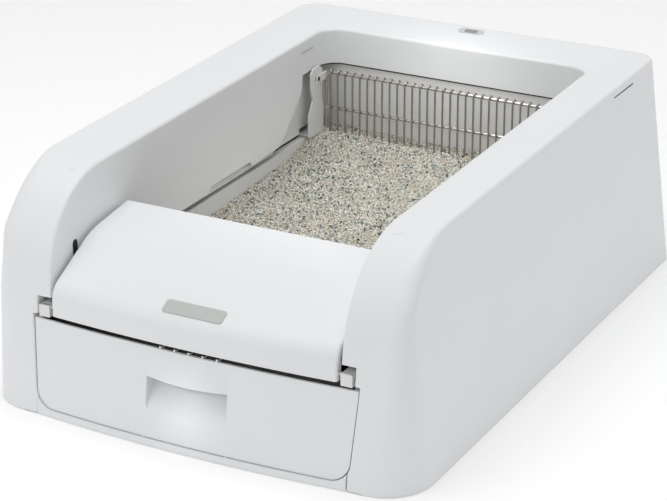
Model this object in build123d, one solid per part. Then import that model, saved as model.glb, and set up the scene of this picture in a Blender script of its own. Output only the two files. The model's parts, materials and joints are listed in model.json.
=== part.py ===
from build123d import *
import math
import os

# A self-raking litter box with a waste drawer, in millimetres.
# +Z is up, the drawer pulls out along -Y and X runs across the box.
# While it is modelled y = 0 is the front face at the floor. save() moves it so that
# the origin lies on the floor, below the centre of the box.

os.makedirs("parts", exist_ok=True)

# Overall body
WIDTH = 480.0                # across the floor edge of the hood
LENGTH = 685.0               # front face to rear face, at the floor
FRONT_LEAN = 0.11            # y per z of the front face
REAR_LEAN = 0.129            # y per z of the rear face
SIDE_LEAN = 0.078            # x per z of each side face
FRONT_BOW = 9.6              # the drawer and sill stand out this far in the middle, at the floor
FRONT_BOW_FADE = 0.028       # and this much less per z
FRONT_CORNERS = ((-40.0, 59.3), (120.0, 22.0), (270.0, 14.0))     # z and radius of the front corners
REAR_CORNER_R = 22.0
WALL = 2.6                   # moulded wall of the hood, base and tray
FLOOR_GAP = 0.8              # the shell stops this far above the floor

# Rim and opening
SIDE_CHANNEL = 76.0          # floor edge to the rim's inner edge: room for the rake's drive
REAR_BAY = 90.0              # rear face to the inner rear wall: room for the motor
OPENING_HALF = WIDTH / 2 - SIDE_CHANNEL
OPENING_BACK = LENGTH - REAR_BAY
OPENING_CORNER_R = 22.0
INNER_SET_IN = 3.0           # at their lower edge the inner side walls stand this far inside the rim's edge
INNER_DRAFT = 0.028          # x per z of the inner side walls
RIM_Z = 231.0                # height of the inner rim edge at y = 0
RIM_RISE = 0.0135            # the rim climbs this much per y
RIM_SLOPE = 0.135            # and this much per x, outwards
BACK_RIM_SLOPE = 0.148       # slope of the rear rim
LEG_ARC_R = 100.0            # round top of the front legs
RAKE_BAY_Y = OPENING_BACK - 63.0     # the inner side walls end here, in front of the rake

# Rake pivot, tray and ramp
PIVOT_Y = OPENING_BACK - 35.0
PIVOT_Z = 187.0
FRONT_PIVOT_Y = 290.0        # the pivot's place when the carriage is at the front
RAMP_R = 163.0               # ramp radius about the pivot at the front of its travel
TRAY_HALF = OPENING_HALF + 2.0
TRAY_RIM_Z = 118.0
TRAY_RIM_FLANGE = 6.0
TRAY_FRONT_Y = 147.0
TRAY_LIP_Z = 102.7
TRAY_UNDER_Z = PIVOT_Z - RAMP_R - WALL
INNER_WALL_Z = TRAY_RIM_Z + 10.0     # lower edge of the inner side walls
INNER_BACK_Z = PIVOT_Z + 11.0        # lower edge of the inner rear wall

# Litter
LITTER_GAP = 0.3
LITTER_TOP_Z = 97.0
LITTER_HEAP = ((-265.0, 97.0), (-185.0, 101.0), (-121.0, 103.5), (-74.0, 107.0), (-47.0, 114.0),
               (-20.0, 117.4))       # y from the inner rear wall, and height
GROOVE_BACK_Y = OPENING_BACK - 7.0
GROOVE_GAP = 0.6             # beside each tine, in the litter
WEB = 1.6                    # litter left under the tips

# Rake wires
RAKE_SET_BACK = 15.0         # wire plane behind the pivot
RAKE_HALF = OPENING_HALF - 8.5       # to the two frame wires
TINE_COUNT = 32
TINE_HALF = RAKE_HALF - 6.7          # to the outermost tines
TINE_PITCH = 2 * TINE_HALF / (TINE_COUNT - 1)
TINE_D = 2.4
FRAME_WIRE_D = 4.0
RAKE_TIP_R = RAMP_R - 3.0
TOP_WIRE_Z = PIVOT_Z + 4.0
MID_WIRE_Z = PIVOT_Z - 39.0

# Waste drawer
DRAWER_TOP_Z = 99.2
DRAWER_BOTTOM_Z = 8.1
DRAWER_TOP_HALF = OPENING_HALF + 16.0
DRAWER_BOTTOM_HALF = DRAWER_TOP_HALF - 6.4
DRAWER_CORNER_R = 20.0
DRAWER_GAP = 1.0
PANEL_BACK_Y = 26.0
FRONT_SET_BACK = 2.0
BIN_HALF = DRAWER_BOTTOM_HALF - 14.6
BIN_LENGTH = 118.0
BIN_Z = DRAWER_BOTTOM_Z + 0.5
BIN_RIM_Z = DRAWER_TOP_Z - 5.0
BIN_WALL = 2.4
LINER_T = 2.4
LINER_W = 6.0
HANDLE_HALF = 45.0
HANDLE_LOW_Z = 35.0
HANDLE_TOP_Z = 70.0
HANDLE_DEPTH = 15.0
HANDLE_CORNER_R = 7.0
VISOR_BULGE = 6.5
RIB_COUNT = 5
RIB_PITCH = 15.7
RIB_T = 1.6
RIB_LOW_Z = 90.0
GLIDE_X = BIN_HALF - 23.0
FRONT_SCREW_X = BIN_HALF - 43.0
FRONT_SCREW_Z = (24.0, 80.0)
FRONT_SCREW_R = 1.5

# Lid
LID_HALF = OPENING_HALF - 6.0
LID_FRONT_Y = 10.3           # at the lid's ends
LID_BOW = 6.0                # the middle of the lid stands this far ahead of its ends
LID_LOW_Z = DRAWER_TOP_Z + 6.1
LID_WALL = 2.5
LID_SKIRT = 9.0
LID_BACK_Y = 150.0
LID_BACK_Z = 179.5
LID_BACK_SLOPE = 0.12
LID_SLOPE = 0.518
LID_SLOPE_Y = 30.0           # one point of the front slope
LID_SLOPE_Z = 144.8
LID_NOSE_R = 20.0
LID_CREST_R = 90.0
LID_EDGE_R = 3.0
HINGE_Y = 14.5
HINGE_Z = DRAWER_TOP_Z + 13.8
PIN_R = 2.0
PIN_GAP = 0.08               # radial running clearance of pins and shafts
LID_BOSS_R = PIN_R + 2.5
LID_BOSS_T = 8.0
LID_PIN_IN = LID_HALF - 7.0
BADGE_SIZE = (66.0, 15.5, 1.0)
BADGE_Y = 20.0
FILTER_SIZE = (124.0, 46.0, 7.0)
FILTER_Y = 45.0

# Notches of the legs, round the hinge blocks
NOTCH_HALF = DRAWER_TOP_HALF - 4.0
NOTCH_TOP_Z = DRAWER_TOP_Z + 23.8
NOTCH_LOW_Z = DRAWER_TOP_Z + 5.0
HINGE_BLOCK_OUT = NOTCH_HALF - 2.5
HINGE_BLOCK_IN = LID_HALF + 3.5
HINGE_BLOCK_Z = (DRAWER_TOP_Z + 3.4, DRAWER_TOP_Z + 15.3)
HINGE_BLOCK_Y = (11.2, 40.0)

# Base
PAN_FLOOR_Z = 3.8
PAN_WALL_Z = 16.0
PAN_GAP = 0.3                # between the pan's wall and the hood
SILL_Z = DRAWER_BOTTOM_Z - DRAWER_GAP
SILL_HALF = DRAWER_BOTTOM_HALF - 0.9
SILL_DEPTH = 12.0
NUB_X = 46.5
GUIDE_X = (BIN_HALF + 4.0, BIN_HALF + 6.5)
GUIDE_BACK_Y = TRAY_FRONT_Y - 1.0
FOOT_R = 10.0
FOOT_H = 2.3
FOOT_X = WIDTH / 2 - 40.0
FOOT_Y = (58.0, 342.0, LENGTH - 45.0)
POST_X = WIDTH / 2 - 26.0
POST_Y = (92.0, 368.0, OPENING_BACK + 15.0)
POST_R = 5.0
POST_Z = 20.0
SCREW_R = 2.0
SCREW_GRIP = 14.0            # thread length in the hood's bosses
SCREW_HEAD_R = 3.6
SCREW_HEAD_Z = (1.3, 3.3)
TRAY_RIB_Y = (FRONT_PIVOT_Y + 10.0, OPENING_BACK - 195.0, OPENING_BACK - 95.0, OPENING_BACK - 10.0)
TRAY_RIB_HALF = TRAY_HALF - 16.0
TRAY_RIB_T = 3.0
BAY_WALL_Y = OPENING_BACK + 2 * WALL + 0.3
BAY_WALL_HALF = OPENING_HALF + 5.5

# Drive
SHAFT_Y = OPENING_BACK + 33.0
SHAFT_Z = 140.0
SHAFT_R = 3.0
IDLER_Y = 240.0
PULLEY_R = 11.5
BELT_T = 1.4
BELT_GAP = 0.3
BELT_X = (OPENING_HALF + 16.0, OPENING_HALF + 24.0)
ROD_X = OPENING_HALF + 32.0
ROD_Z = TRAY_RIM_Z - 8.0
ROD_R = 4.0
ROD_HOLDER_Y = ((IDLER_Y + 6.0, IDLER_Y + 18.0), (SHAFT_Y - 26.0, SHAFT_Y - 14.0))
ROD_HOLDER_HALF = 6.0
SLIDER_GAP = 0.1
SLIDER_Y = (PIVOT_Y - 20.0, PIVOT_Y + 22.0)
SLIDER_X = (OPENING_HALF + 13.0, OPENING_HALF + 41.0)
SLIDER_Z = (ROD_Z - 12.0, TRAY_RIM_Z + 1.5)
BRACKET_T = 2.2
BRACKET_X = OPENING_HALF - 3.6       # outer face of the upright plate
BRACKET_OUTLINE = ((15, -37), (11, -21), (14, -7), (13, 9), (6, 14), (-8, 14), (-14, 8), (-14, -11),
                   (-9, -24), (-19, -41))      # y and z from the pivot, above the foot
BRACKET_FOOT_Y = (PIVOT_Y - 19.0, PIVOT_Y + 15.0)
BRACKET_SCREW_X = OPENING_HALF + 18.0
BRACKET_SCREW_Y = (PIVOT_Y - 9.0, PIVOT_Y + 11.0)
BRACKET_SCREW_R = 1.5
TAB_OUT_X = BRACKET_X - 3.4
GEAR_MODULE = 1.0
GEAR_TEETH = 44
PINION_TEETH = 22
GEAR_X = (-46.0, -38.0)
MOTOR_R = 17.0
MOTOR_LENGTH = 60.0
MOTOR_PLATE_X = (GEAR_X[0] - 3.5, GEAR_X[0] - 1.0)
MOTOR_Z = SHAFT_Z - GEAR_MODULE * (GEAR_TEETH + PINION_TEETH) / 2
BEARING_POST_X = (OPENING_HALF + 1.0, OPENING_HALF + 6.0)
IDLER_POST_X = (BELT_X[1] + 2.4, BELT_X[1] + 5.0)
IDLER_POST_Y = (IDLER_Y - 8.0, IDLER_Y + 5.0)
BUSH_R = 5.0
BUSH_T = 1.2
CHEEK_X = (OPENING_HALF + 8.0, OPENING_HALF + 10.0)
CHEEK_FRONT_Y = RAKE_BAY_Y - 64.0
HOUSING_BACK_Y = OPENING_BACK + 55.0

# Electronics
STANDOFF_X = (52.0, 138.0)
STANDOFF_Y = (OPENING_BACK + 17.0, OPENING_BACK + 55.0)
BOARD_Z = 20.0
BOARD_T = 1.6
JACK_X = 120.0
JACK_Y0 = LENGTH - 25.0
JACK_Z = 30.0
JACK_R = 4.0
JACK_HALF = 6.5

# Rear control button
BUTTON_Y = OPENING_BACK + 43.0
BEZEL_SIZE = (32.0, 13.0)
BUTTON_SIZE = (15.0, 8.0)
BUTTON_GAP = 0.3
SWITCH_BOARD_Z = 226.0
SWITCH_BOARD_HALF = 18.0

# Small features of the hood
OUTER_SLIT_Y = (PIVOT_Y - 37.0, PIVOT_Y + 18.0)
OUTER_SLIT_Z = 236.5
OUTER_SLIT_H = 2.2
INNER_SLIT_Y = (PIVOT_Y - 28.0, PIVOT_Y + 1.0)
INNER_SLIT_Z = 224.0
INNER_SLIT_H = 2.0
SENSOR_Y = 55.0
SENSOR_SLOT_W = 8.0
SENSOR_TOP_Z = 166.0
PLUG_PLACES = ((OPENING_HALF + 18.0, 90.0), (116.5, OPENING_BACK + 39.0))
PLUG_SIZE = (12.0, 9.0)
PLUG_DEPTH = 3.5

SIDES = (-1, 1)


def save(shape, name):
    """Write one piece, with the origin moved below the centre of the box."""
    centre_y = (LENGTH - FRONT_BOW) / 2
    export_step(Pos(0, -centre_y, 0) * shape, "parts/" + name + ".step")


def block(x0, x1, y0, y1, z0, z1):
    """A box between two corners."""
    size = Box(x1 - x0, y1 - y0, z1 - z0)
    return Pos((x0 + x1) / 2, (y0 + y1) / 2, (z0 + z1) / 2) * size


def both_sides(shape):
    """The shape and its mirror image across the middle plane."""
    return [shape, mirror(shape, Plane.YZ)]


def side_block(x0, x1, y0, y1, z0, z1):
    """Two boxes, one each side, given by the right one."""
    right = block(x0, x1, y0, y1, z0, z1)
    return Part() + both_sides(right)


def x_rod(x0, x1, y, z, radius):
    """A round bar along X."""
    return Pos((x0 + x1) / 2, y, z) * Rot(0, 90, 0) * Cylinder(radius, abs(x1 - x0))


def y_rod(x, y0, y1, z, radius):
    """A round bar along Y."""
    return Pos(x, (y0 + y1) / 2, z) * Rot(90, 0, 0) * Cylinder(radius, abs(y1 - y0))


def z_rod(x, y, z0, z1, radius):
    """A round bar along Z."""
    return Pos(x, y, (z0 + z1) / 2) * Cylinder(radius, z1 - z0)


def side_profile(points, x0, x1):
    """A closed outline of (y, z) points, extruded from x0 to x1."""
    outline = make_face(Plane.YZ * Polyline(*points, close=True))
    return extrude(Pos(x0, 0, 0) * outline, x1 - x0, dir=(1, 0, 0))


def front_profile(face, y0, y1):
    """A face drawn in x and z, extruded from y0 to y1."""
    drawn = Plane.XZ * face
    return extrude(Pos(0, y0, 0) * drawn, y1 - y0, dir=(0, 1, 0))


# ---------------------------------------------------------------- body shape

def plan(z, corner_r, inset):
    """Horizontal outline of the box at one height, moved in by inset."""
    half = WIDTH / 2 - SIDE_LEAN * z - inset
    front = FRONT_LEAN * z + inset
    back = LENGTH - REAR_LEAN * z - inset
    outline = Rectangle(2 * half, back - front)
    ends = outline.vertices().group_by(Axis.Y)
    outline = fillet(ends[0], corner_r - inset)
    ends = outline.vertices().sort_by(Axis.Y)[-2:]
    outline = fillet(ends, REAR_CORNER_R - inset)
    return Pos(0, (front + back) / 2, z) * outline


def tapered_body(inset):
    """The leaning walls of the box, with no top surface yet."""
    return loft([plan(z, corner_r, inset) for z, corner_r in FRONT_CORNERS], ruled=True)


def front_y(x, z):
    """Y of the bowed front that the drawer and the sill share."""
    bow = FRONT_BOW - FRONT_BOW_FADE * z
    return FRONT_LEAN * z - bow * (1 - (x / DRAWER_TOP_HALF) ** 2)


def bowed_slab(offset_y):
    """Everything behind the bowed front between the legs, moved back by offset_y."""
    half = DRAWER_TOP_HALF
    side = half + 10
    slices = []
    for z in (-40.0, 140.0):
        end_y = front_y(half, z) + offset_y
        arc = ThreePointArc((-half, end_y), (0, front_y(0, z) + offset_y), (half, end_y))
        back = Polyline((half, end_y), (side, end_y), (side, 80), (-side, 80), (-side, end_y), (-half, end_y))
        slices.append(Pos(0, 0, z) * make_face(Curve() + [arc, back]))
    return loft(slices, ruled=True)


def back_rim_height(y):
    """Height of the rear rim's top surface."""
    start = RIM_Z + RIM_RISE * OPENING_BACK
    return start + BACK_RIM_SLOPE * (y - OPENING_BACK)


def top_envelope(inset):
    """Everything below the rim's three sloping planes, with the round leg tops in front."""
    far = LENGTH + 40
    reach = WIDTH / 2 + 20
    start = -reach
    level = RIM_Z - RIM_SLOPE * (reach + OPENING_HALF) - inset
    lean_shift = 0.02 - inset
    corner_y = (FRONT_LEAN * RIM_Z - lean_shift) / (1 - FRONT_LEAN * RIM_RISE)
    drop = -(RIM_Z - inset) + level
    front_top = RIM_Z - inset + RIM_RISE * corner_y
    low = -60.0
    face = make_face(Polyline(
        (FRONT_LEAN * low - lean_shift, low),
        (corner_y, front_top),
        (far, RIM_Z - inset + RIM_RISE * far),
        (far, low),
        close=True))
    knee = face.vertices().sort_by_distance((corner_y, front_top, 0))[0]
    face = fillet(knee, LEG_ARC_R - inset)
    placed = Pos(start, 0, drop) * (Plane.YZ * face)
    slant = math.hypot(1, RIM_SLOPE)
    right = extrude(placed, 2 * reach * slant, dir=(1, 0, RIM_SLOPE))
    left = mirror(right, Plane.YZ)
    back = side_profile(
        [(RAKE_BAY_Y, low), (RAKE_BAY_Y, back_rim_height(RAKE_BAY_Y) - inset),
         (far, back_rim_height(far) - inset), (far, low)],
        -reach, reach)
    return right + left + back


def inner_half(z):
    """Half-width between the inner side walls."""
    return OPENING_HALF - INNER_SET_IN + INNER_DRAFT * (z - INNER_WALL_Z)


def top_opening(grow, low):
    """The opening that the cat walks in through, open to the front."""
    slices = []
    for z in (low, 300.0):
        half = inner_half(z) + grow
        front = -60.0
        back = OPENING_BACK + grow
        outline = Pos(0, (front + back) / 2, z) * Rectangle(2 * half, back - front)
        ends = outline.vertices().sort_by(Axis.Y)[-2:]
        slices.append(fillet(ends, OPENING_CORNER_R + grow))
    return loft(slices, ruled=True)


def drawer_outline(grow):
    """Front view of the drawer, moved out by grow."""
    top = DRAWER_TOP_Z + grow
    low = DRAWER_BOTTOM_Z - grow
    taper = (DRAWER_TOP_HALF - DRAWER_BOTTOM_HALF) / (DRAWER_TOP_Z - DRAWER_BOTTOM_Z)
    wide = DRAWER_TOP_HALF + grow * (1 + taper)
    narrow = DRAWER_BOTTOM_HALF + grow * (1 - taper)
    face = make_face(Polyline((-wide, top), (wide, top), (narrow, low), (-narrow, low), close=True))
    corners = face.vertices().sort_by(Axis.Y)[:2]
    return fillet(corners, DRAWER_CORNER_R + grow)


def front_opening(grow, y1):
    """Where the drawer and the hinge blocks pass between the legs."""
    drawer = front_profile(drawer_outline(DRAWER_GAP + grow), -60, y1)
    top = NOTCH_LOW_Z + grow
    upper = block(-DRAWER_TOP_HALF - DRAWER_GAP - grow, DRAWER_TOP_HALF + DRAWER_GAP + grow,
                  -60, y1, DRAWER_TOP_Z, top)
    notch = block(-NOTCH_HALF - grow, NOTCH_HALF + grow, -60, y1, DRAWER_TOP_Z, NOTCH_TOP_Z + grow)
    sill_top = DRAWER_BOTTOM_Z + DRAWER_CORNER_R
    sill = block(-SILL_HALF - 0.5 - grow, SILL_HALF + 0.5 + grow, -60, y1, -30, sill_top)
    return drawer + upper + notch + sill


# ---------------------------------------------------------------- hood

def oval_hole(x, y, length, width, z0, z1):
    """An upright slot with round ends, along X."""
    return Pos(x, y, z0) * extrude(SlotOverall(length, width), z1 - z0)


def hood_outer():
    """The closed outer form of the hood."""
    body = tapered_body(0) & top_envelope(0)
    return body - block(-WIDTH, WIDTH, -60, LENGTH + 60, -60, FLOOR_GAP)


def lower_edge_cut():
    """Side view of what is cut away below the inner walls."""
    z = INNER_WALL_Z
    bay = RAKE_BAY_Y
    points = [(60, -30), (60, z), (bay - 214, z), (bay - 209, z + 6), (bay - 124, z + 6), (bay - 119, z),
              (bay - 58, z + 2), (bay - 42, z + 13), (bay - 5, z + 47), (bay, z + 56), (bay, INNER_BACK_Z),
              (OPENING_BACK + 10, INNER_BACK_Z), (OPENING_BACK + 10, -30)]
    half = OPENING_HALF + 8
    return side_profile(points, -half, half)


def hood_cuts():
    """Slits, sensor slots, plug seats, the button's hole and the inlet's hole, right side."""
    cuts = []
    slit_x = WIDTH / 2 - SIDE_LEAN * OUTER_SLIT_Z
    low = OUTER_SLIT_Z - OUTER_SLIT_H / 2
    cuts.append(block(slit_x - 8, slit_x + 8, *OUTER_SLIT_Y, low, low + OUTER_SLIT_H))
    slit_x = inner_half(INNER_SLIT_Z)
    low = INNER_SLIT_Z - INNER_SLIT_H / 2
    cuts.append(block(slit_x - 5, slit_x + 5, *INNER_SLIT_Y, low, low + INNER_SLIT_H))
    half = SENSOR_SLOT_W / 2
    slot = block(inner_half(SENSOR_TOP_Z) - 5, inner_half(SENSOR_TOP_Z) + 5,
                 SENSOR_Y - half, SENSOR_Y + half, NOTCH_TOP_Z + 8, SENSOR_TOP_Z)
    cuts.append(fillet(slot.edges().filter_by(Axis.X).group_by(Axis.Z)[-1], half * 0.95))
    for x, y in PLUG_PLACES:
        cuts.append(oval_hole(x, y, PLUG_SIZE[0], PLUG_SIZE[1], 200, 300))
    return cuts


def make_hood():
    """Shell with the opening, the legs, the slits and the screw bosses."""
    inside = tapered_body(WALL) & top_envelope(WALL)
    low = NOTCH_TOP_Z - 20
    openings = top_opening(0, low) + front_opening(0, 60)
    kept = top_opening(WALL, low) + front_opening(WALL, PANEL_BACK_Y)
    hood = hood_outer() - (inside - kept)
    hood = hood - openings - lower_edge_cut()
    bosses = Part() + [z_rod(side * POST_X, y, POST_Z, 260, POST_R) for side in SIDES for y in POST_Y]
    hood = hood + (bosses & tapered_body(WALL / 2) & top_envelope(WALL / 2))
    for y in POST_Y:
        for side in SIDES:
            hood = hood - z_rod(side * POST_X, y, 0, POST_Z + SCREW_GRIP, SCREW_R)
    right = Part() + hood_cuts()
    hood = hood - right - mirror(right, Plane.YZ)
    hood = hood - oval_hole(0, BUTTON_Y, BEZEL_SIZE[0], BEZEL_SIZE[1], 200, 300)
    for side in SIDES:
        post = z_rod(side * SWITCH_BOARD_HALF, BUTTON_Y - 8, SWITCH_BOARD_Z + BOARD_T, 260, 3)
        hood = hood + (post & tapered_body(WALL / 2) & top_envelope(WALL / 2))
    hood = hood - y_rod(JACK_X, LENGTH - 20, LENGTH + 5, JACK_Z, JACK_R + 0.4)
    return hood


# ---------------------------------------------------------------- base, tray and litter

def make_sill():
    """Bowed front edge of the base, turned up beside the drawer's round lower corners."""
    sill = block(-SILL_HALF, SILL_HALF, -20, SILL_DEPTH, FLOOR_GAP, DRAWER_BOTTOM_Z + DRAWER_CORNER_R)
    return (sill & bowed_slab(0)) - front_profile(drawer_outline(DRAWER_GAP), -60, 60)


def make_pan():
    """Floor, rim wall, sill, ribs and every post that is moulded with them."""
    top = block(-WIDTH, WIDTH, -60, LENGTH + 60, FLOOR_GAP, PAN_WALL_Z)
    inset = WALL + PAN_GAP
    pan = tapered_body(inset) & top
    hollow = tapered_body(inset + WALL) & block(-WIDTH, WIDTH, -60, LENGTH + 60, PAN_FLOOR_Z, 60)
    pan = pan - hollow
    mouth = SILL_HALF + DRAWER_GAP + 6
    pan = pan - block(-mouth, mouth, -60, PANEL_BACK_Y, PAN_FLOOR_Z, 60)
    pan = pan - side_block(SILL_HALF, mouth, -60, PANEL_BACK_Y + 0.5, 0, 60)
    pan = pan + make_sill()
    nub_y = front_y(NUB_X, SILL_Z) + FRONT_SET_BACK
    nub = block(NUB_X - 1.5, NUB_X + 1.5, nub_y, nub_y + 3.4, SILL_Z, DRAWER_BOTTOM_Z - 0.25)
    pan = pan + both_sides(nub)
    runner = 6
    pan = pan + side_block(GLIDE_X - runner, GLIDE_X + runner, SILL_DEPTH, GUIDE_BACK_Y, PAN_FLOOR_Z, SILL_Z)
    half_rib = TRAY_RIB_T / 2
    for y in TRAY_RIB_Y:
        pan = pan + block(-TRAY_RIB_HALF, TRAY_RIB_HALF, y - half_rib, y + half_rib, PAN_FLOOR_Z, TRAY_UNDER_Z)
    for y in POST_Y:
        pan = pan + side_block(POST_X - POST_R, POST_X + POST_R, y - POST_R, y + POST_R, PAN_FLOOR_Z, POST_Z)
    for x in STANDOFF_X:
        for y in STANDOFF_Y:
            pan = pan + z_rod(x, y, PAN_FLOOR_Z, BOARD_Z, 3)
    pan = pan + block(JACK_X - 8, JACK_X + 8, JACK_Y0, JACK_Y0 + 14, PAN_FLOOR_Z, JACK_Z - 6)
    cuts = []
    for side in SIDES:
        for y in FOOT_Y:
            cuts.append(z_rod(side * FOOT_X, y, 0, FOOT_H, FOOT_R + 0.3))
        for y in POST_Y:
            cuts.append(z_rod(side * POST_X, y, 0, 60, SCREW_R + 0.3))
            cuts.append(z_rod(side * POST_X, y, 0, SCREW_HEAD_Z[1], SCREW_HEAD_R + 0.3))
    for cut in cuts:
        pan = pan - cut
    return pan


def guide_rod():
    """Right guide rod, seated in its front and rear holders."""
    return y_rod(ROD_X, ROD_HOLDER_Y[0][0] + 2, ROD_HOLDER_Y[1][1] - 2, ROD_Z, ROD_R)


def make_rod_holder(y0, y1):
    """Right upright block that stands on the base and holds one end of the guide rod."""
    half = ROD_HOLDER_HALF
    return block(ROD_X - half, ROD_X + half, y0, y1, PAN_FLOOR_Z, ROD_Z + half) - guide_rod()


def make_bearing_post():
    """Right upright plate that stands on the base and carries the cross shaft."""
    reach = 2 * BUSH_R
    post = block(*BEARING_POST_X, SHAFT_Y - reach, SHAFT_Y + reach, PAN_FLOOR_Z, SHAFT_Z + reach)
    return post - x_rod(*BEARING_POST_X, SHAFT_Y, SHAFT_Z, BUSH_R)


def ramp_outline(radius, back_y, top_z, front_y, front_z):
    """Side view above a flat floor and a ramp of the given radius about the front pivot place."""
    pivot_y = FRONT_PIVOT_Y
    floor_z = PIVOT_Z - radius
    y_end = pivot_y - math.sqrt(radius ** 2 - (PIVOT_Z - front_z) ** 2)
    angle = math.atan2(pivot_y - y_end, PIVOT_Z - front_z) / 2
    middle = (pivot_y - radius * math.sin(angle), PIVOT_Z - radius * math.cos(angle))
    line = [Line((back_y, floor_z), (pivot_y, floor_z)),
            ThreePointArc((pivot_y, floor_z), middle, (y_end, front_z))]
    corners = [(y_end, front_z), (front_y, front_z), (front_y, top_z), (back_y, top_z), (back_y, floor_z)]
    if abs(front_y - y_end) < 0.01:
        corners = corners[1:]
    return line, corners


def ramp_prism(radius, back_y, top_z, front_y, front_z, x0, x1):
    """The space above the floor and ramp, between two sides."""
    line, corners = ramp_outline(radius, back_y, top_z, front_y, front_z)
    wire = Plane.YZ * (Curve() + line + [Polyline(*corners)])
    return extrude(Pos(x0, 0, 0) * make_face(wire), x1 - x0, dir=(1, 0, 0))


def make_tray():
    """Open tray with a curved ramp to the drawer and a flange along its sides."""
    outer_r = RAMP_R + WALL
    back = OPENING_BACK + WALL
    outer = ramp_prism(outer_r, back + WALL, TRAY_RIM_Z, TRAY_FRONT_Y, TRAY_LIP_Z,
                       -TRAY_HALF - WALL, TRAY_HALF + WALL)
    inner = ramp_prism(RAMP_R, back, TRAY_RIM_Z + 20, TRAY_FRONT_Y - 10, TRAY_LIP_Z,
                       -TRAY_HALF, TRAY_HALF)
    reach = TRAY_HALF + WALL
    flange = side_block(TRAY_HALF, reach + TRAY_RIM_FLANGE, TRAY_FRONT_Y, back + WALL,
                        TRAY_RIM_Z - WALL, TRAY_RIM_Z)
    return outer - inner + flange


def rake_wire_x():
    """X of the frame wires and of every tine between them, from left to right."""
    tines = [n * TINE_PITCH - TINE_HALF for n in range(TINE_COUNT)]
    return [-RAKE_HALF] + tines + [RAKE_HALF]


def make_litter():
    """The bed of litter, heaped at the rear, with a groove for each tine to run in."""
    back = OPENING_BACK + WALL - LITTER_GAP
    front_z = LITTER_TOP_Z
    radius = RAMP_R - LITTER_GAP
    pivot_y = FRONT_PIVOT_Y
    half = TRAY_HALF - LITTER_GAP
    y_end = pivot_y - math.sqrt(radius ** 2 - (PIVOT_Z - front_z) ** 2)
    bed = ramp_prism(radius, back, LITTER_HEAP[-1][1], y_end, front_z, -half, half)
    heap = [(OPENING_BACK + y, z) for y, z in LITTER_HEAP]
    above = [(y_end - 5, front_z)] + heap + [(back + 5, heap[-1][1]), (back + 5, 200), (y_end - 5, 200)]
    bed = bed - side_profile(above, -half - 1, half + 1)
    groove_r = radius - WEB
    cuts = []
    wires = rake_wire_x()
    for x in wires:
        wire = FRAME_WIRE_D if x in (wires[0], wires[-1]) else TINE_D
        reach = wire / 2 + GROOVE_GAP
        cuts.append(ramp_prism(groove_r, GROOVE_BACK_Y, 200, y_end - 10, front_z, x - reach, x + reach))
    return bed - cuts


def make_rear_housing():
    """Grey cover behind the rake, with a cheek at each end of it."""
    front = OPENING_BACK + WALL + 0.4
    top = INNER_BACK_Z + 7
    x0, x1 = CHEEK_X
    low = TRAY_RIM_Z + 0.3
    housing = block(-x1, x1, front, front + WALL, low, top)
    housing = housing + block(-x1, x1, front, HOUSING_BACK_Y, top - WALL, top)
    housing = housing + side_block(x0, x1, CHEEK_FRONT_Y, front + WALL, INNER_WALL_Z + 0.6, top)
    return housing


# ---------------------------------------------------------------- drawer

def drawer_face_y(x, z):
    """Y of the drawer's bowed front face."""
    return front_y(x, z) + FRONT_SET_BACK


def visor():
    """Bulge above the handle, from nothing at the top edge to its full reach at the pocket."""
    half = HANDLE_HALF + 2
    slices = []
    for z, bulge in ((HANDLE_TOP_Z, VISOR_BULGE), (DRAWER_TOP_Z, 0.4)):
        end_y = drawer_face_y(half, z) + 0.5
        arc = ThreePointArc((-half, end_y), (0, drawer_face_y(0, z) - bulge), (half, end_y))
        back = Polyline((half, end_y), (half, end_y + 1.5), (-half, end_y + 1.5), (-half, end_y))
        slices.append(Pos(0, 0, z) * make_face(Curve() + [arc, back]))
    return loft(slices, ruled=True)


def pocket(grow):
    """Scoop of the handle: deep at the top, running out to nothing at the bottom."""
    y_low = drawer_face_y(0, HANDLE_LOW_Z)
    y_top = drawer_face_y(0, HANDLE_TOP_Z)
    y_deep = y_top + HANDLE_DEPTH + grow
    y_lip = y_top + 3 - grow
    roof = HANDLE_TOP_Z + 12 + grow
    outline = [(y_low - 20, HANDLE_LOW_Z - grow), (y_low + 0.3 + grow, HANDLE_LOW_Z - grow),
               (y_deep, HANDLE_TOP_Z - 6), (y_deep, roof), (y_lip, roof), (y_lip, HANDLE_TOP_Z),
               (y_top - 20, HANDLE_TOP_Z)]
    half = HANDLE_HALF + grow
    scoop = side_profile(outline, -half, half)
    lower_edges = scoop.edges().filter_by(Axis.Y).group_by(Axis.Z)[0]
    return fillet(lower_edges, HANDLE_CORNER_R)


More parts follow.
